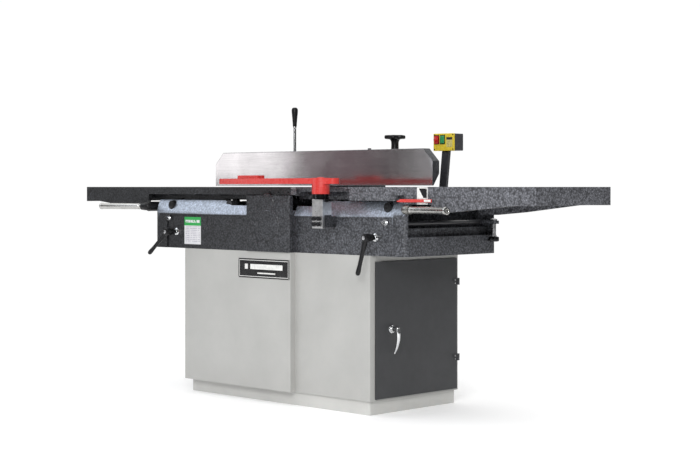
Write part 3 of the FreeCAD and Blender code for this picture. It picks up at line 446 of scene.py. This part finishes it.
class Shape:
    """Points and faces, in millimetres in the object's frame, gathered before they become one mesh."""

    def __init__(self):
        self.points = []
        self.faces = []

    def rings(self, rings):
        """A skin over closed rings of points, shut at both ends."""
        first = len(self.points)
        steps = len(rings[0])
        for ring in rings:
            self.points.extend(ring)
        for row in range(len(rings) - 1):
            for k in range(steps):
                a = first + row * steps + k
                b = first + row * steps + (k + 1) % steps
                self.faces.append((a, b, b + steps, a + steps))
        self.faces.append(tuple(first + k for k in reversed(range(steps))))
        last = first + (len(rings) - 1) * steps
        self.faces.append(tuple(last + k for k in range(steps)))
        return self

    def lathe(self, centre, axis, profile, steps=36, lobes=0, depth=0.0):
        """(radius, height) pairs turned about an axis, with lobes that push the rim in and out."""
        turn = UP.rotation_difference(Vector(axis)).to_matrix()
        rings = []
        for radius, height in profile:
            ring = []
            for k in range(steps):
                angle = math.tau * k / steps
                reach = max(radius, 0.01) * (1 + depth * math.cos(lobes * angle))
                offset = Vector((reach * math.cos(angle), reach * math.sin(angle), height))
                ring.append(Vector(centre) + turn @ offset)
            rings.append(ring)
        return self.rings(rings)

    def sweep(self, stations):
        """A round bar through (x, y, z, radius) stations, curved smoothly, with domed ends."""
        steps, fine = 18, 5
        dome_degrees = (10, 35, 60, 80)
        path = [Vector(s) for s in stations]
        path = [path[0] * 2 - path[1]] + path + [path[-1] * 2 - path[-2]]
        centres = []
        for a, b, c, d in zip(path, path[1:], path[2:], path[3:]):
            for k in range(fine):
                t = k / fine
                centres.append(0.5 * (2 * b + (c - a) * t + (2 * a - 5 * b + 4 * c - d) * t * t
                                      + (3 * b - a - 3 * c + d) * t ** 3))
        centres.append(path[-2].copy())
        ways = [(b - a).xyz.normalized() for a, b in zip(centres, centres[1:])]
        ways.append(ways[-1])
        dome = [(math.cos(math.radians(d)), math.sin(math.radians(d))) for d in dome_degrees]
        start, end = centres[0], centres[-1]
        spots = [(start.xyz - ways[0] * start.w * rise, ways[0], start.w * reach)
                 for reach, rise in reversed(dome)]
        spots += [(centre.xyz, way, centre.w) for centre, way in zip(centres, ways)]
        spots += [(end.xyz + ways[-1] * end.w * rise, ways[-1], end.w * reach)
                  for reach, rise in dome]
        turns = [math.tau * k / steps for k in range(steps)]
        across = ways[0].orthogonal().normalized()
        rings = []
        for spot, way, radius in spots:
            across = (across - way * across.dot(way)).normalized()
            other = way.cross(across)
            rings.append([
                spot + radius * (across * math.cos(turn) + other * math.sin(turn)) for turn in turns
            ])
        return self.rings(rings)

    def slab(self, low, high, edge=0.8):
        """A block with small chamfers on all its edges."""
        block = bmesh.new()
        bmesh.ops.create_cube(block, size=1.0)
        for vert in block.verts:
            vert.co = Vector(
                (a + b) / 2 + part * (b - a) for a, b, part in zip(low, high, vert.co))
        bmesh.ops.bevel(block, geom=block.edges[:], offset=edge, segments=2, affect="EDGES")
        first = len(self.points)
        block.verts.index_update()
        self.points.extend(vert.co.copy() for vert in block.verts)
        self.faces.extend(tuple(first + vert.index for vert in face.verts) for face in block.faces)
        block.free()
        return self

    def prism(self, outline, front, back):
        """An outline of (x, z) points drawn out from y = front to y = back."""
        return self.rings([[Vector((x, y, z)) for x, z in outline] for y in (front, back)])


def add(name, body, finish, shape, stands_for=()):
    """One piece that rides on a body, in a named finish or a look of its own."""
    mesh = bpy.data.meshes.new(name)
    mesh.from_pydata([point * MM for point in shape.points], [], shape.faces)
    mesh.validate()
    mesh.update()
    mesh.shade_smooth()
    mesh.set_sharp_from_angle(angle=math.radians(SHARP_ANGLE_DEG))
    piece = bpy.data.objects.new(name, mesh)
    bpy.context.scene.collection.objects.link(piece)
    if isinstance(finish, str):
        mesh.materials.append(MATERIALS[finish])
    else:
        mesh.materials.append(finish)
    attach(piece, body)
    if stands_for:
        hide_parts(*stands_for)


def centre_of(node):
    """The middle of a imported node's box, in millimetres."""
    low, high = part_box(node)
    return (Vector(low) + Vector(high)) / 2 / MM


def span_of(node):
    """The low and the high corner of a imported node's box, in millimetres."""
    low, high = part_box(node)
    return Vector(low) / MM, Vector(high) / MM


def screw_head(radius, height):
    """A pan head with a hollow for the driver."""
    return ((radius, 0), (radius, height * 0.5), (radius * 0.8, height * 0.9), (radius * 0.5, height),
            (radius * 0.45, height * 0.55), (0, height * 0.5))


# The layout of the CAD model, in millimetres.
LEFT, RIGHT = -1, 1
WING_FRONTS = {LEFT: -277.0, RIGHT: -253.0}
OUTWARD = (0, -1, 0)
REARWARD = (0, 1, 0)
RIGHTWARD = (1, 0, 0)
SHAFT_X, SHAFT_Z = 597, 756
CLAMP_X, CLAMP_Z = 548.0, 648.0
STOP_BOLT_X, STOP_BOLT_Z = 598, 702
LEVER_X, LEVER_Z = 718.0, 749.0
CUTTER_Z, MOTOR_Z = 777, 262
DOOR_FACE = 521.0
DOOR_INNER_FACE = 511.2
HANDLE_Y, HANDLE_Z = -141.0, 310.0


# ------------------------------------------------------------- cabinet and door

def dress_door():
    low, high = span_of("cabinet_door")
    face = DOOR_FACE
    at = (face, HANDLE_Y, HANDLE_Z)
    rose = Shape().lathe(
        at, RIGHTWARD, ((16, 0), (16, 2.4), (14.6, 3.8), (12, 4.2), (11, 5.8), (0, 6.0)))
    add("door_handle_rose", "door", "chrome_steel", rose)
    screws = Shape()
    for drop in (-12.8, 12.8):
        screws.lathe((face + 3.6, HANDLE_Y, HANDLE_Z + drop), RIGHTWARD, screw_head(2.4, 1.2), steps=16)
    add("door_rose_screws", "door", "turned_steel", screws)
    horn_line = ((30, 2, 8.6), (33, -14, 7.8), (33, -34, 6.8), (29, -55, 5.6), (22, -74, 4.4), (14, -88, 3.4))
    horn = Shape().sweep([(face + out, HANDLE_Y, HANDLE_Z + up, radius) for out, up, radius in horn_line])
    horn.lathe((face + 6.3, HANDLE_Y, HANDLE_Z), RIGHTWARD,
               ((10.5, 0), (10.5, 2), (8.6, 4), (8.2, 18), (8.8, 24), (7.5, 29), (4, 31.5), (0, 32)))
    add("door_horn_handle", "door_handle", "chrome_steel", horn, stands_for=("door_lever",))
    seal = Shape()
    inner, outer = DOOR_INNER_FACE, face - 2.1
    rim, inset, chamfer = 7.0, 4, 1.2
    hinged_edge = 227.5
    for y in (low.y + inset, hinged_edge - inset - rim):
        seal.slab((inner, y, low.z + 2 * inset), (outer, y + rim, high.z - 2 * inset), chamfer)
    for z in (low.z + inset, high.z - inset - rim):
        seal.slab((inner, low.y + 3 * inset, z), (outer, hinged_edge - 12.5, z + rim), chamfer)
    add("door_seal", "door", "belt_rubber", seal)
    hinge = Shape()
    leaf_face, leaf_y = face + 2.0, 214.5
    for z in (172, 184, 462, 474):
        hinge.lathe((leaf_face, leaf_y, z), RIGHTWARD, screw_head(2.8, 1.3), steps=16)
    add("door_hinge_screws", "door", "turned_steel", hinge)


def dress_name_plate():
    """A raised frame line, three plain bars in the place of writing, and four rivets."""
    low, high = span_of("name_plate")
    front, wide = low.y, high.x - low.x
    proud, chamfer = 0.35, 0.15
    inset, line = 5.0, 2.2
    marks = Shape()
    for z in (low.z + inset, high.z - inset - line):
        marks.slab((low.x + inset, front - proud, z), (high.x - inset, front, z + line), chamfer)
    for x in (low.x + inset, high.x - inset - line):
        marks.slab((x, front - proud, low.z + inset), (x + line, front, high.z - inset), chamfer)
    bars = ((0.13, 0.19, 34, 54), (0.24, 0.87, 34, 54), (0.38, 0.73, 17, 22))
    for left, right, bottom, top in bars:
        marks.slab((low.x + left * wide, front - proud, low.z + bottom),
                   (low.x + right * wide, front, low.z + top), chamfer)
    add("name_plate_marks", "base", "scale_plate", marks)
    rivets = Shape()
    for x in (low.x + 2.8, high.x - 2.8):
        for z in (low.z + 2.9, high.z - 2.9):
            rivets.lathe((x, front, z), OUTWARD, ((1.9, 0), (1.7, 0.7), (0.9, 1.1), (0, 1.2)), steps=14)
    add("name_plate_rivets", "base", "turned_steel", rivets)


def dress_rear_panel():
    low, high = span_of("cabinet_rear_panel")
    rear = high.y
    margin, middle_x = 14, 170
    screws = Shape()
    for x in (low.x + margin, -middle_x, middle_x, high.x - margin):
        for z in (low.z + margin, (low.z + high.z) / 2, high.z - margin):
            screws.lathe((x, rear, z), REARWARD, screw_head(5.0, 2.6), steps=20)
    add("rear_panel_screws", "base", "black_screw", screws)
    hoods = Shape()
    slot_width, slot_height, pitch, proud = 120, 9, 26, 5
    for x in (-60, 120):
        for z in range(150, 330, pitch):
            lower, upper = z + slot_height, z + slot_height + 3
            outline = ((x - 3, lower), (x + slot_width + 3, lower), (x + slot_width, upper), (x, upper))
            hoods.prism(outline, rear, rear + proud)
    add("louvre_hoods", "base", "cabinet_paint", hoods)
    gland_x, gland_z, nut_height = -320, 120, 6
    gland = Shape()
    gland.lathe((gland_x, rear, gland_z), REARWARD, ((17, 0), (17, 5), (15.5, nut_height)), steps=6)
    gland.lathe((gland_x, rear + nut_height, gland_z), REARWARD,
                ((12, 0), (12, 8), (10, 14), (6, 16), (5.5, 10), (0, 9)))
    add("cable_gland", "base", "black_plastic", gland)
    label = Shape().slab((-380, rear - 0.1, 420), (-270, rear + 0.4, 490), 0.15)
    add("rating_label", "base", LABEL_REAR, label)


def dress_dust_port():
    port = centre_of("dust_port")
    bead_radius, bead_height, half_width = 62.4, 1.8, 3
    arc = [math.radians(a) for a in range(-90, 91, 30)]
    section = [(bead_radius + bead_height * math.cos(a), half_width * math.sin(a)) for a in arc]
    beads = Shape()
    for x in (-557, -520):
        beads.lathe((x, port.y, port.z), RIGHTWARD, section, steps=60)
    beads.faces = [face for face in beads.faces if len(face) == 4]
    add("hose_beads", "base", "dark_steel", beads)


def dress_cabinet():
    dress_name_plate()
    sheet = Shape().slab((-508, -272.45, 598), (-405, -271.9, 708), 0.15)
    add("instruction_label", "base", LABEL, sheet)
    dress_rear_panel()
    dress_dust_port()


def dress_casting():
    caps = Shape()
    nuts = Shape()
    for side, front in WING_FRONTS.items():
        caps.lathe((side * SHAFT_X, front + 8.2, SHAFT_Z), OUTWARD,
                   ((14.5, 0), (14.5, 1.2), (12.5, 2.4), (6, 3.0), (5.2, 1.6), (0, 1.4)))
        nuts.lathe((side * STOP_BOLT_X, front - 2.8, STOP_BOLT_Z), OUTWARD,
                   ((5.9, 0), (5.9, 5), (4.8, 7), (0, 7.6)))
        nuts.lathe((side * CLAMP_X, front - 3.8, CLAMP_Z), OUTWARD,
                   ((14.8, 0), (14.2, 1.6), (9.8, 3.6), (9.8, 8), (0, 8.2)))
    add("shaft_cap_discs", "base", "black_plastic", caps)
    add("bolt_ends", "base", "chrome_steel", nuts)
    discs = Shape()
    centre_front = -283.0
    for z, radius in ((770, 27), (688, 52)):
        discs.lathe((0, centre_front, z), OUTWARD,
                    ((radius, 0), (radius - 1.2, 1.0), (radius - 3, 0.8), (0, 0.7)))
    add("centre_boss_faces", "base", "hammered_casting", discs)


def dress_depth_stop():
    """A lobed thumbscrew under the infeed lug, its shank, and the nut on top of the lug."""
    at = centre_of("depth_stop_screw")
    knob_bottom, shank_bottom, lug_top = 625.5, 645, 704
    stop = Shape().lathe(
        (at.x, at.y, knob_bottom), UP,
        ((13, 0), (17.5, 1.5), (18.5, 4), (18.5, 15), (17, 18), (9, 20), (8.5, 23), (0, 23.2)),
        steps=72, lobes=8, depth=0.07)
    add("depth_stop_thumbscrew", "depth_stop", "black_screw", stop, stands_for=("depth_stop_screw",))
    shank = Shape().lathe(
        (at.x, at.y, shank_bottom), UP,
        ((10.5, 0), (10.5, 5), (8.5, 6), (8.5, 66), (7.3, 67.2), (0, 67.4)))
    add("depth_stop_shank", "depth_stop", "turned_steel", shank)
    nut = Shape().lathe(
        (at.x, at.y, lug_top), UP, ((14, 0), (14, 5.5), (12.4, 6.6), (8.7, 6.7)), steps=6)
    add("depth_stop_nut", "base", "turned_steel", nut)


def dress_clamp(name, node, side, lean_deg):
    """A black clamping handle: a ribbed hub, a tapered arm with a bulb, and a steel screw."""
    x, front, z = side * CLAMP_X, span_of(node)[0].y, CLAMP_Z
    lean = math.radians(lean_deg)
    along = Vector((-math.sin(lean), -0.10, -math.cos(lean))).normalized()
    root = Vector((x, front + 13, z))
    arm = Shape()
    radii = ((0, 11.5), (22, 9.6), (60, 8.0), (100, 7.8), (122, 9.0), (131, 8.6))
    arm.sweep([(*(root + along * reach), radius) for reach, radius in radii])
    arm.lathe((x, front, z), REARWARD,
              ((10.5, 0), (13.4, 1.5), (14.6, 4), (14.6, 26), (12.6, 29), (12.6, 41), (11, 42)))
    add(name + "_handle", name, "black_plastic", arm, stands_for=(node,))
    screw = Shape().lathe(
        (x, front + 0.2, z), OUTWARD,
        ((7.4, 0), (7.2, 1.0), (5, 1.8), (3.2, 1.8), (3.0, 0.4), (0, 0.3)), steps=30)
    add(name + "_screw", name, "turned_steel", screw)


# ------------------------------------------------------------------ lift levers

GRIP_SPLAY_DEG = 14
GRIP_PROFILE = (
    (10.0, 0), (12.2, 1.0), (12.2, 6), (11.0, 8), (11.0, 11), (12.6, 13), (12.7, 206), (13.4, 208),
    (13.9, 210), (13.9, 217), (13.0, 219.5), (11.4, 220), (7.6, 220), (6.6, 219), (6.4, 209), (0, 208))
GRIP_BOSS_PROFILE = ((9, -9), (13.6, -6), (16.4, 0), (16.9, 9), (15.9, 24), (13, 31), (10, 34))
NECK_PROFILE = ((17, 0), (20, 2), (20, 122), (17, 126))


def dress_grip(name, side, grip_y, boss_look):
    """A steel bar in a boss at the lever's end; the outfeed lever's neck also has a sleeve."""
    splay = math.radians(GRIP_SPLAY_DEG)
    along = Vector((side * math.cos(splay), -math.sin(splay), 0))
    start = Vector((side * LEVER_X, grip_y, LEVER_Z))
    crank = name + "_main_crank"
    bar = Shape().lathe(start + along * 26, along, GRIP_PROFILE, steps=44)
    add(name + "_steel_grip", crank, GRIP_STEEL, bar, stands_for=(name + "_lever_grip",))
    boss = Shape().lathe(start - along * 8, along, GRIP_BOSS_PROFILE, steps=40)
    add(name + "_grip_boss", crank, boss_look, boss)
    if side == LEFT:
        sleeve = Shape().lathe((side * LEVER_X, -171, LEVER_Z), OUTWARD, NECK_PROFILE)
        add(name + "_neck_sleeve", crank, boss_look, sleeve)


# ------------------------------------------------------------------------ tables

def dress_depth_scale():
    """A plain dark field and a row of ticks on the scale's plate, and its two screws."""
    low, high = span_of("depth_scale")
    front, proud = low.y, 0.3
    top, right = high.z - 4, high.x - 3
    field_height, ticks, pitch, tick_width = 33, 21, 1.15, 0.5
    field = ((low.x + 9, top), (low.x + 30, top - field_height), (right, top - field_height), (right, top))
    marks = Shape().prism(field, front - proud, front)
    for k in range(ticks):
        reach = 9 if k % 5 == 0 else 5
        z = low.z + 3 + k * pitch
        marks.slab((right - reach, front - proud, z), (right, front, z + tick_width), 0.1)
    add("depth_scale_marks", "infeed", "black_plastic", marks)
    screws = Shape()
    for x, z in ((low.x + 5, low.z + 5), (high.x - 5, high.z - 5)):
        screws.lathe((x, front, z), OUTWARD, screw_head(2.6, 1.4), steps=18)
    add("depth_scale_screws", "infeed", "turned_steel", screws)


def dress_depth_pointer():
    low, high = span_of("depth_pointer")
    foot_top, foot_y = 782.0, -240
    window = Shape().slab((high.x - 34, low.y - 0.5, 777.5), (high.x - 3, low.y + 0.1, 785.5), 0.25)
    add("pointer_window", "base", "scale_plate", window)
    heads = Shape()
    for x in (low.x + 6, low.x + 16):
        heads.lathe((x, foot_y, foot_top), UP, screw_head(4.2, 2.6), steps=22)
    add("pointer_screws", "base", "turned_steel", heads)


def dress_tables():
    seal = Shape().slab((-700, 137, 774.5), (-140, 146, 783.4), 1.0)
    add("outfeed_chip_seal", "outfeed", "belt_rubber", seal)
    dress_depth_scale()
    dress_depth_pointer()
    lip_front, lip_z = -263.5, 809
    lips = Shape()
    for x in (6, 56, 107):
        lips.lathe((x, lip_front, lip_z), OUTWARD, screw_head(3.8, 4.5), steps=22)
    add("lip_screws", "outfeed", "black_screw", lips)
    strip = Shape().slab((123.5, -274.3, 822.5), (152, -271.0, 829.2), 0.8)
    add("infeed_lip_strip", "infeed", "turned_steel", strip)


# ------------------------------------------------------------------------- fence

STAR_PROFILE = (
    (24, 0.4), (34, 0), (37, 1.6), (38.2, 4), (38.2, 11), (37, 13.4), (33, 15), (18, 14.6), (13, 12.4),
    (0, 12.2))
STAR_NECK_PROFILE = ((14.2, 0), (15, 1.2), (14.2, 18), (14.8, 30), (18, 37), (25, 41.2), (25, 42))
LOCK_GRIP_PROFILE = (
    (7.0, 0), (8.2, 1.4), (8.6, 10), (10.4, 34), (12.6, 56), (13.2, 66), (12.4, 72), (10, 76.4),
    (6, 78.6), (0, 79))


def dress_tilt_lock():
    at = centre_of("tilt_lock_knob")
    top = span_of("tilt_lock_knob")[1].z
    star_height, neck_bottom = 15, 975.5
    knob = Shape()
    knob.lathe((at.x, at.y, top - star_height), UP, STAR_PROFILE, steps=96, lobes=6, depth=0.105)
    knob.lathe((at.x, at.y, neck_bottom), UP, STAR_NECK_PROFILE, steps=48)
    add("tilt_star_knob", "tilt_lock", "black_plastic", knob, stands_for=("tilt_lock_knob",))
    cap = Shape().lathe((at.x, at.y, top - 3.2), UP, ((10.5, 0), (10, 2.2), (6, 3.4), (0, 3.6)))
    add("tilt_knob_cap", "tilt_lock", "turned_steel", cap)


def dress_fence_lock():
    at = centre_of("fence_lock_grip")
    bottom = span_of("fence_lock_grip")[0].z
    grip = Shape().lathe((at.x, at.y, bottom), UP, LOCK_GRIP_PROFILE, steps=40)
    add("fence_lock_handle", "fence_lock", "black_plastic", grip, stands_for=("fence_lock_grip",))
    ferrule = Shape().lathe(
        (at.x, at.y, bottom - 5), UP, ((6.2, 0), (7.4, 0.8), (7.4, 4.4), (6.2, 5)))
    add("fence_lock_ferrule", "fence_lock", "turned_steel", ferrule)


def dress_fence():
    head = Shape().lathe(
        (233, 43, 973.6), UP, ((7, 0), (7, 4.8), (6.2, 6.2), (3.4, 6.4), (3.2, 3), (0, 2.8)))
    add("fence_stop_screw", "fence", "black_screw", head)
    dress_tilt_lock()
    dress_fence_lock()
    hinge_x, hinge_y, hinge_z, ear_half = 180, 35, 895, 21.4
    ends = Shape()
    for side in (LEFT, RIGHT):
        for turn in (LEFT, RIGHT):
            ends.lathe((side * hinge_x + turn * ear_half, hinge_y, hinge_z), (turn, 0, 0),
                       ((11, 0), (11, 4.2), (9.6, 5.4), (0, 5.6)), steps=6)
    add("tilt_pin_nuts", "carriage", "turned_steel", ends)
    carriage_y, carriage_top = 140, 899.6
    heads = Shape()
    for x in (-36, 36):
        heads.lathe((x, carriage_y, carriage_top), UP,
                    ((9, 0), (9, 6), (8, 7.4), (4.6, 7.6), (4.4, 4), (0, 3.8)))
    add("carriage_cap_screws", "carriage", "black_screw", heads)


# ------------------------------------------------------------------------- guard

def dress_guard():
    post = centre_of("guard_post")
    guard_top = span_of("cutter_guard")[1].z
    cap = Shape().lathe(
        (post.x, post.y, guard_top - 11.6), UP,
        ((13, 0), (13, 1.6), (11.4, 3), (6, 3.6), (5.2, 1.8), (0, 1.6)))
    add("guard_spring_cap", "guard", "guard_red", cap)
    collar_bottom = 785.0
    collar = Shape().lathe(
        (post.x, post.y, collar_bottom), UP,
        ((27, 0), (29.3, 1), (29.3, 8), (27.6, 9.2), (27.6, 10.4), (29.3, 11.6), (29.3, 17.4), (28, 18.4)),
        steps=72, lobes=24, depth=0.006)
    add("guard_spring_collar", "base", DARK_COLLAR, collar)
    bar_front = -337.9
    rims = Shape()
    for x in (310, 334):
        for z in (693, 714):
            rims.lathe((x, bar_front, z), OUTWARD,
                       ((7.4, 0), (7.0, 0.7), (4.4, 0.9), (4.2, 0.2), (0, 0.1)), steps=30)
    add("bracket_screw_rims", "base", "black_screw", rims)


# ------------------------------------------------------- switch, drive, cutters

def dress_switch():
    low, high = span_of("switch_faceplate")
    front = low.y
    frame_front, frame_back, bar, chamfer = front - 1.6, front + 0.6, 2.2, 0.6
    bottom, top = 995.0, 1031.0
    frames = Shape()
    for left, right in ((402.5, 427.5), (431.5, 456.5)):
        for z in (bottom, top - bar):
            frames.slab((left, frame_front, z), (right, frame_back, z + bar), chamfer)
        for x in (left, right - bar):
            frames.slab((x, frame_front, bottom), (x + bar, frame_back, top), chamfer)
    add("switch_button_frames", "base", "black_plastic", frames)
    screws = Shape()
    for x in (low.x + 6, high.x - 6):
        for z in (low.z + 6, high.z - 5):
            screws.lathe((x, front, z), OUTWARD, screw_head(2.8, 1.3), steps=18)
    add("switch_cover_screws", "base", "black_screw", screws)
    label = Shape().slab((464, front - 0.3, 984), (494, front + 0.1, 1022), 0.15)
    add("switch_label", "base", LABEL_SWITCH, label)
    button_z = 1013
    dome = Shape().lathe((415, 222.2, button_z), OUTWARD, ((8.6, 0), (8.2, 1.6), (6, 2.7), (0, 3.0)))
    add("stop_button_dome", "stop_actuator", "stop_red", dome)
    ridges = Shape()
    for z in (button_z - 8, button_z, button_z + 8):
        ridges.slab((437, 226.4, z - 1), (451, 227.4, z + 1), 0.4)
    add("start_button_ridges", "start_actuator", "start_green", ridges)
    foot_rear = 269.6
    bolts = Shape()
    for z in (656, 686):
        for x in (398, 422):
            bolts.lathe((x, foot_rear, z), REARWARD, ((7, 0), (7, 4), (6, 5), (0, 5.2)), steps=6)
    add("post_foot_bolts", "base", "turned_steel", bolts)


INSERT_ROWS, INSERTS_PER_ROW = 6, 13
ROW_TWIST_DEG = 9
INSERT_SCREW_REACH = 52.1
FIRST_INSERT_Y, LAST_INSERT_Y = -226.0, 138.0
COWL_PROFILE = (
    (88, -1), (89.5, 2), (89.5, 24), (86, 31), (78, 34), (76, 32), (62, 31.5), (60, 33.5), (46, 33.8),
    (44, 32), (30, 31.8), (28, 34), (0, 34.2))


def dress_drive():
    heads = Shape()
    pitch = (LAST_INSERT_Y - FIRST_INSERT_Y) / (INSERTS_PER_ROW - 1)
    for row in range(INSERT_ROWS):
        for k in range(INSERTS_PER_ROW):
            angle = math.radians(row * 360 / INSERT_ROWS + k * ROW_TWIST_DEG)
            out = Vector((math.sin(angle), 0, math.cos(angle)))
            at = Vector((0, FIRST_INSERT_Y + k * pitch, CUTTER_Z)) + out * INSERT_SCREW_REACH
            heads.lathe(at, out, ((3.1, 0), (2.9, 0.5), (1.4, 0.7), (1.2, 0.2), (0, 0.1)), steps=12)
    add("insert_screws", "cutter_rotor", "black_screw", heads)
    cowl = Shape().lathe((0, -110, MOTOR_Z), OUTWARD, COWL_PROFILE, steps=60)
    add("motor_fan_cowl", "base", "dark_steel", cowl)
    pulley_rear = 231.4
    for body, z in (("cutter_rotor", CUTTER_Z), ("motor_shaft", MOTOR_Z)):
        nut = Shape().lathe(
            (0, pulley_rear, z), REARWARD, ((13.5, 0), (13.5, 3.4), (12, 4.4), (0, 4.5)), steps=6)
        add(body + "_end_nut", body, "turned_steel", nut)


dress_door()
dress_cabinet()
dress_casting()
dress_depth_stop()
dress_clamp("outfeed_clamp", "outfeed_clamp_lever", LEFT, lean_deg=48.0)
dress_clamp("infeed_clamp", "infeed_clamp_lever", RIGHT, lean_deg=12.0)
dress_grip("outfeed", LEFT, grip_y=-300.0, boss_look="black_plastic")
dress_grip("infeed", RIGHT, grip_y=-277.0, boss_look=BOSS_STEEL)
dress_tables()
dress_fence()
dress_guard()
dress_switch()
dress_drive()


# ------------------------------------------------------ floor, light, camera

# (height of the ray's direction, brightness) pairs, dark at the horizon and bright overhead.
SKY = ((-1.0, 0.10), (-0.04, 0.12), (0.0, 0.22), (0.15, 0.34), (0.5, 1.0), (0.8, 1.6), (1.0, 1.7))
SKY_TOP = 1.7
RIGHT_SIDE = 0.38                       # how much of the sky's light is left towards +X
FRONT_LEFT = 0.35                       # and towards the front left corner
FRONT_LEFT_WAY = (-0.70, -0.714, 0.0)
BACKDROP_STRENGTH = 1.02
FLOOR_REACH = 5.0
FLOOR_GLOW = 0.15
FOCAL_LENGTH_MM = 78.17
CAMERA_SHIFT_Y = -0.0673
CAMERA_PLACE = (4.308, -4.222, 0.830)
CAMERA_AZIMUTH_DEG = 44.43


def stage_floor():
    mesh = bpy.data.meshes.new("floor")
    corners = [(FLOOR_REACH * x, FLOOR_REACH * y, 0) for x, y in ((-1, -1), (1, -1), (1, 1), (-1, 1))]
    mesh.from_pydata(corners, [], [(0, 1, 2, 3)])
    floor = bpy.data.objects.new("floor", mesh)
    bpy.context.scene.collection.objects.link(floor)
    look = Look("studio_floor", specular=0.1)
    look.colour(look.ramp(look.noise(3, 4, 0.5), (0.3, 0.93), (0.7, 0.96)))
    look.rough(0.9)
    look.shader.inputs["Emission Color"].default_value = (1, 1, 1, 1)
    look.shader.inputs["Emission Strength"].default_value = FLOOR_GLOW
    mesh.materials.append(look.material)


def soft_box(name, place, target, width, height, power, colour=(1, 1, 1)):
    """A rectangular light of so many watts, aimed at a point and unseen by the camera."""
    data = bpy.data.lights.new(name, "AREA")
    data.shape = "RECTANGLE"
    data.size = width
    data.size_y = height
    data.energy = power
    data.color = colour
    light = bpy.data.objects.new(name, data)
    light.location = place
    light.rotation_euler = (Vector(target) - Vector(place)).to_track_quat("-Z", "Y").to_euler()
    light.visible_camera = False
    bpy.context.scene.collection.objects.link(light)


def softbox_at(name, azimuth, width_deg, heights, radiance, colour=(1, 1, 1)):
    """An upright soft box, 4.6 m from the middle at an azimuth turned from -Y towards -X."""
    reach = 4.6
    angle = math.radians(azimuth)
    bottom, top = heights
    place = Vector((-reach * math.sin(angle), -reach * math.cos(angle), (bottom + top) / 2))
    width = 2 * reach * math.tan(math.radians(width_deg / 2))
    height = top - bottom
    power = radiance * math.pi * width * height
    soft_box(name, place, (0, 0, place.z), width, height, power, colour)


def map_range(nodes, from_low, from_high, to_low=0.0, to_high=1.0):
    node = nodes.new("ShaderNodeMapRange")
    node.inputs["From Min"].default_value = from_low
    node.inputs["From Max"].default_value = from_high
    node.inputs["To Min"].default_value = to_low
    node.inputs["To Max"].default_value = to_high
    return node


def studio_world():
    """A white backdrop for the camera, and for light a sky that is darker at the sides."""
    world = bpy.data.worlds.new("studio")
    bpy.context.scene.world = world
    world.use_nodes = True
    nodes, links = world.node_tree.nodes, world.node_tree.links
    light = nodes["Background"]
    backdrop = nodes.new("ShaderNodeBackground")
    backdrop.inputs["Color"].default_value = (1, 1, 1, 1)
    backdrop.inputs["Strength"].default_value = BACKDROP_STRENGTH
    path = nodes.new("ShaderNodeLightPath")
    pick = nodes.new("ShaderNodeMixShader")
    links.new(path.outputs["Is Camera Ray"], pick.inputs["Fac"])
    links.new(light.outputs[0], pick.inputs[1])
    links.new(backdrop.outputs[0], pick.inputs[2])
    links.new(pick.outputs[0], nodes["World Output"].inputs["Surface"])
    ray = nodes.new("ShaderNodeTexCoord")
    split = nodes.new("ShaderNodeSeparateXYZ")
    links.new(ray.outputs["Generated"], split.inputs["Vector"])
    shades = nodes.new("ShaderNodeValToRGB")
    lift = map_range(nodes, -1.0, 1.0)
    links.new(split.outputs["Z"], lift.inputs["Value"])
    links.new(lift.outputs["Result"], shades.inputs["Fac"])
    points = shades.color_ramp.elements
    for _ in SKY[2:]:
        points.new(0.5)
    for point, (height, value) in zip(points, SKY):
        point.position = (height + 1) / 2
        point.color = (value / SKY_TOP, value / SKY_TOP, value / SKY_TOP, 1)
    side = map_range(nodes, -0.2, 0.8, SKY_TOP, SKY_TOP * RIGHT_SIDE)
    links.new(split.outputs["X"], side.inputs["Value"])
    toward = nodes.new("ShaderNodeVectorMath")
    toward.operation = "DOT_PRODUCT"
    links.new(ray.outputs["Generated"], toward.inputs[0])
    toward.inputs[1].default_value = FRONT_LEFT_WAY
    corner = map_range(nodes, 0.35, 0.90, 1.0, FRONT_LEFT)
    links.new(toward.outputs["Value"], corner.inputs["Value"])
    level = nodes.new("ShaderNodeMath")
    level.operation = "MULTIPLY"
    links.new(side.outputs["Result"], level.inputs[0])
    links.new(corner.outputs["Result"], level.inputs[1])
    links.new(shades.outputs["Color"], light.inputs["Color"])
    links.new(level.outputs["Value"], light.inputs["Strength"])


def place_camera():
    data = bpy.data.cameras.new("camera")
    data.lens = FOCAL_LENGTH_MM
    data.sensor_width = 36.0
    data.shift_y = CAMERA_SHIFT_Y
    camera = bpy.data.objects.new("camera", data)
    camera.location = CAMERA_PLACE
    camera.rotation_euler = (math.radians(90), 0, math.radians(CAMERA_AZIMUTH_DEG))
    bpy.context.scene.collection.objects.link(camera)
    bpy.context.scene.camera = camera


stage_floor()
studio_world()
softbox_at("left_box", 54.8, 13, (0.86, 1.45), 1.75)
softbox_at("warm_panel", 44.2, 6.6, (0.5, 1.6), 0.14, colour=(1.0, 0.62, 0.72))
softbox_at("dark_panel", 39.2, 3.2, (0.5, 1.6), 0.03, colour=(1.0, 0.80, 0.82))
softbox_at("edge_panel", 36.4, 2.0, (0.5, 1.6), 0.55)
softbox_at("strip_box", 28.5, 8, (0.3, 2.0), 1.9, colour=(0.93, 0.95, 1.0))
soft_box("slope_box", (-3.2, -2.15, 3.2), (0, -0.25, 0.75), 3.0, 2.0, 30, (0.88, 0.93, 1.0))
soft_box("front_key", (2.7, -3.3, 2.0), (0.3, -0.2, 0.4), 1.4, 1.1, 92)
place_camera()
bpy.context.scene.view_settings.view_transform = "Standard"
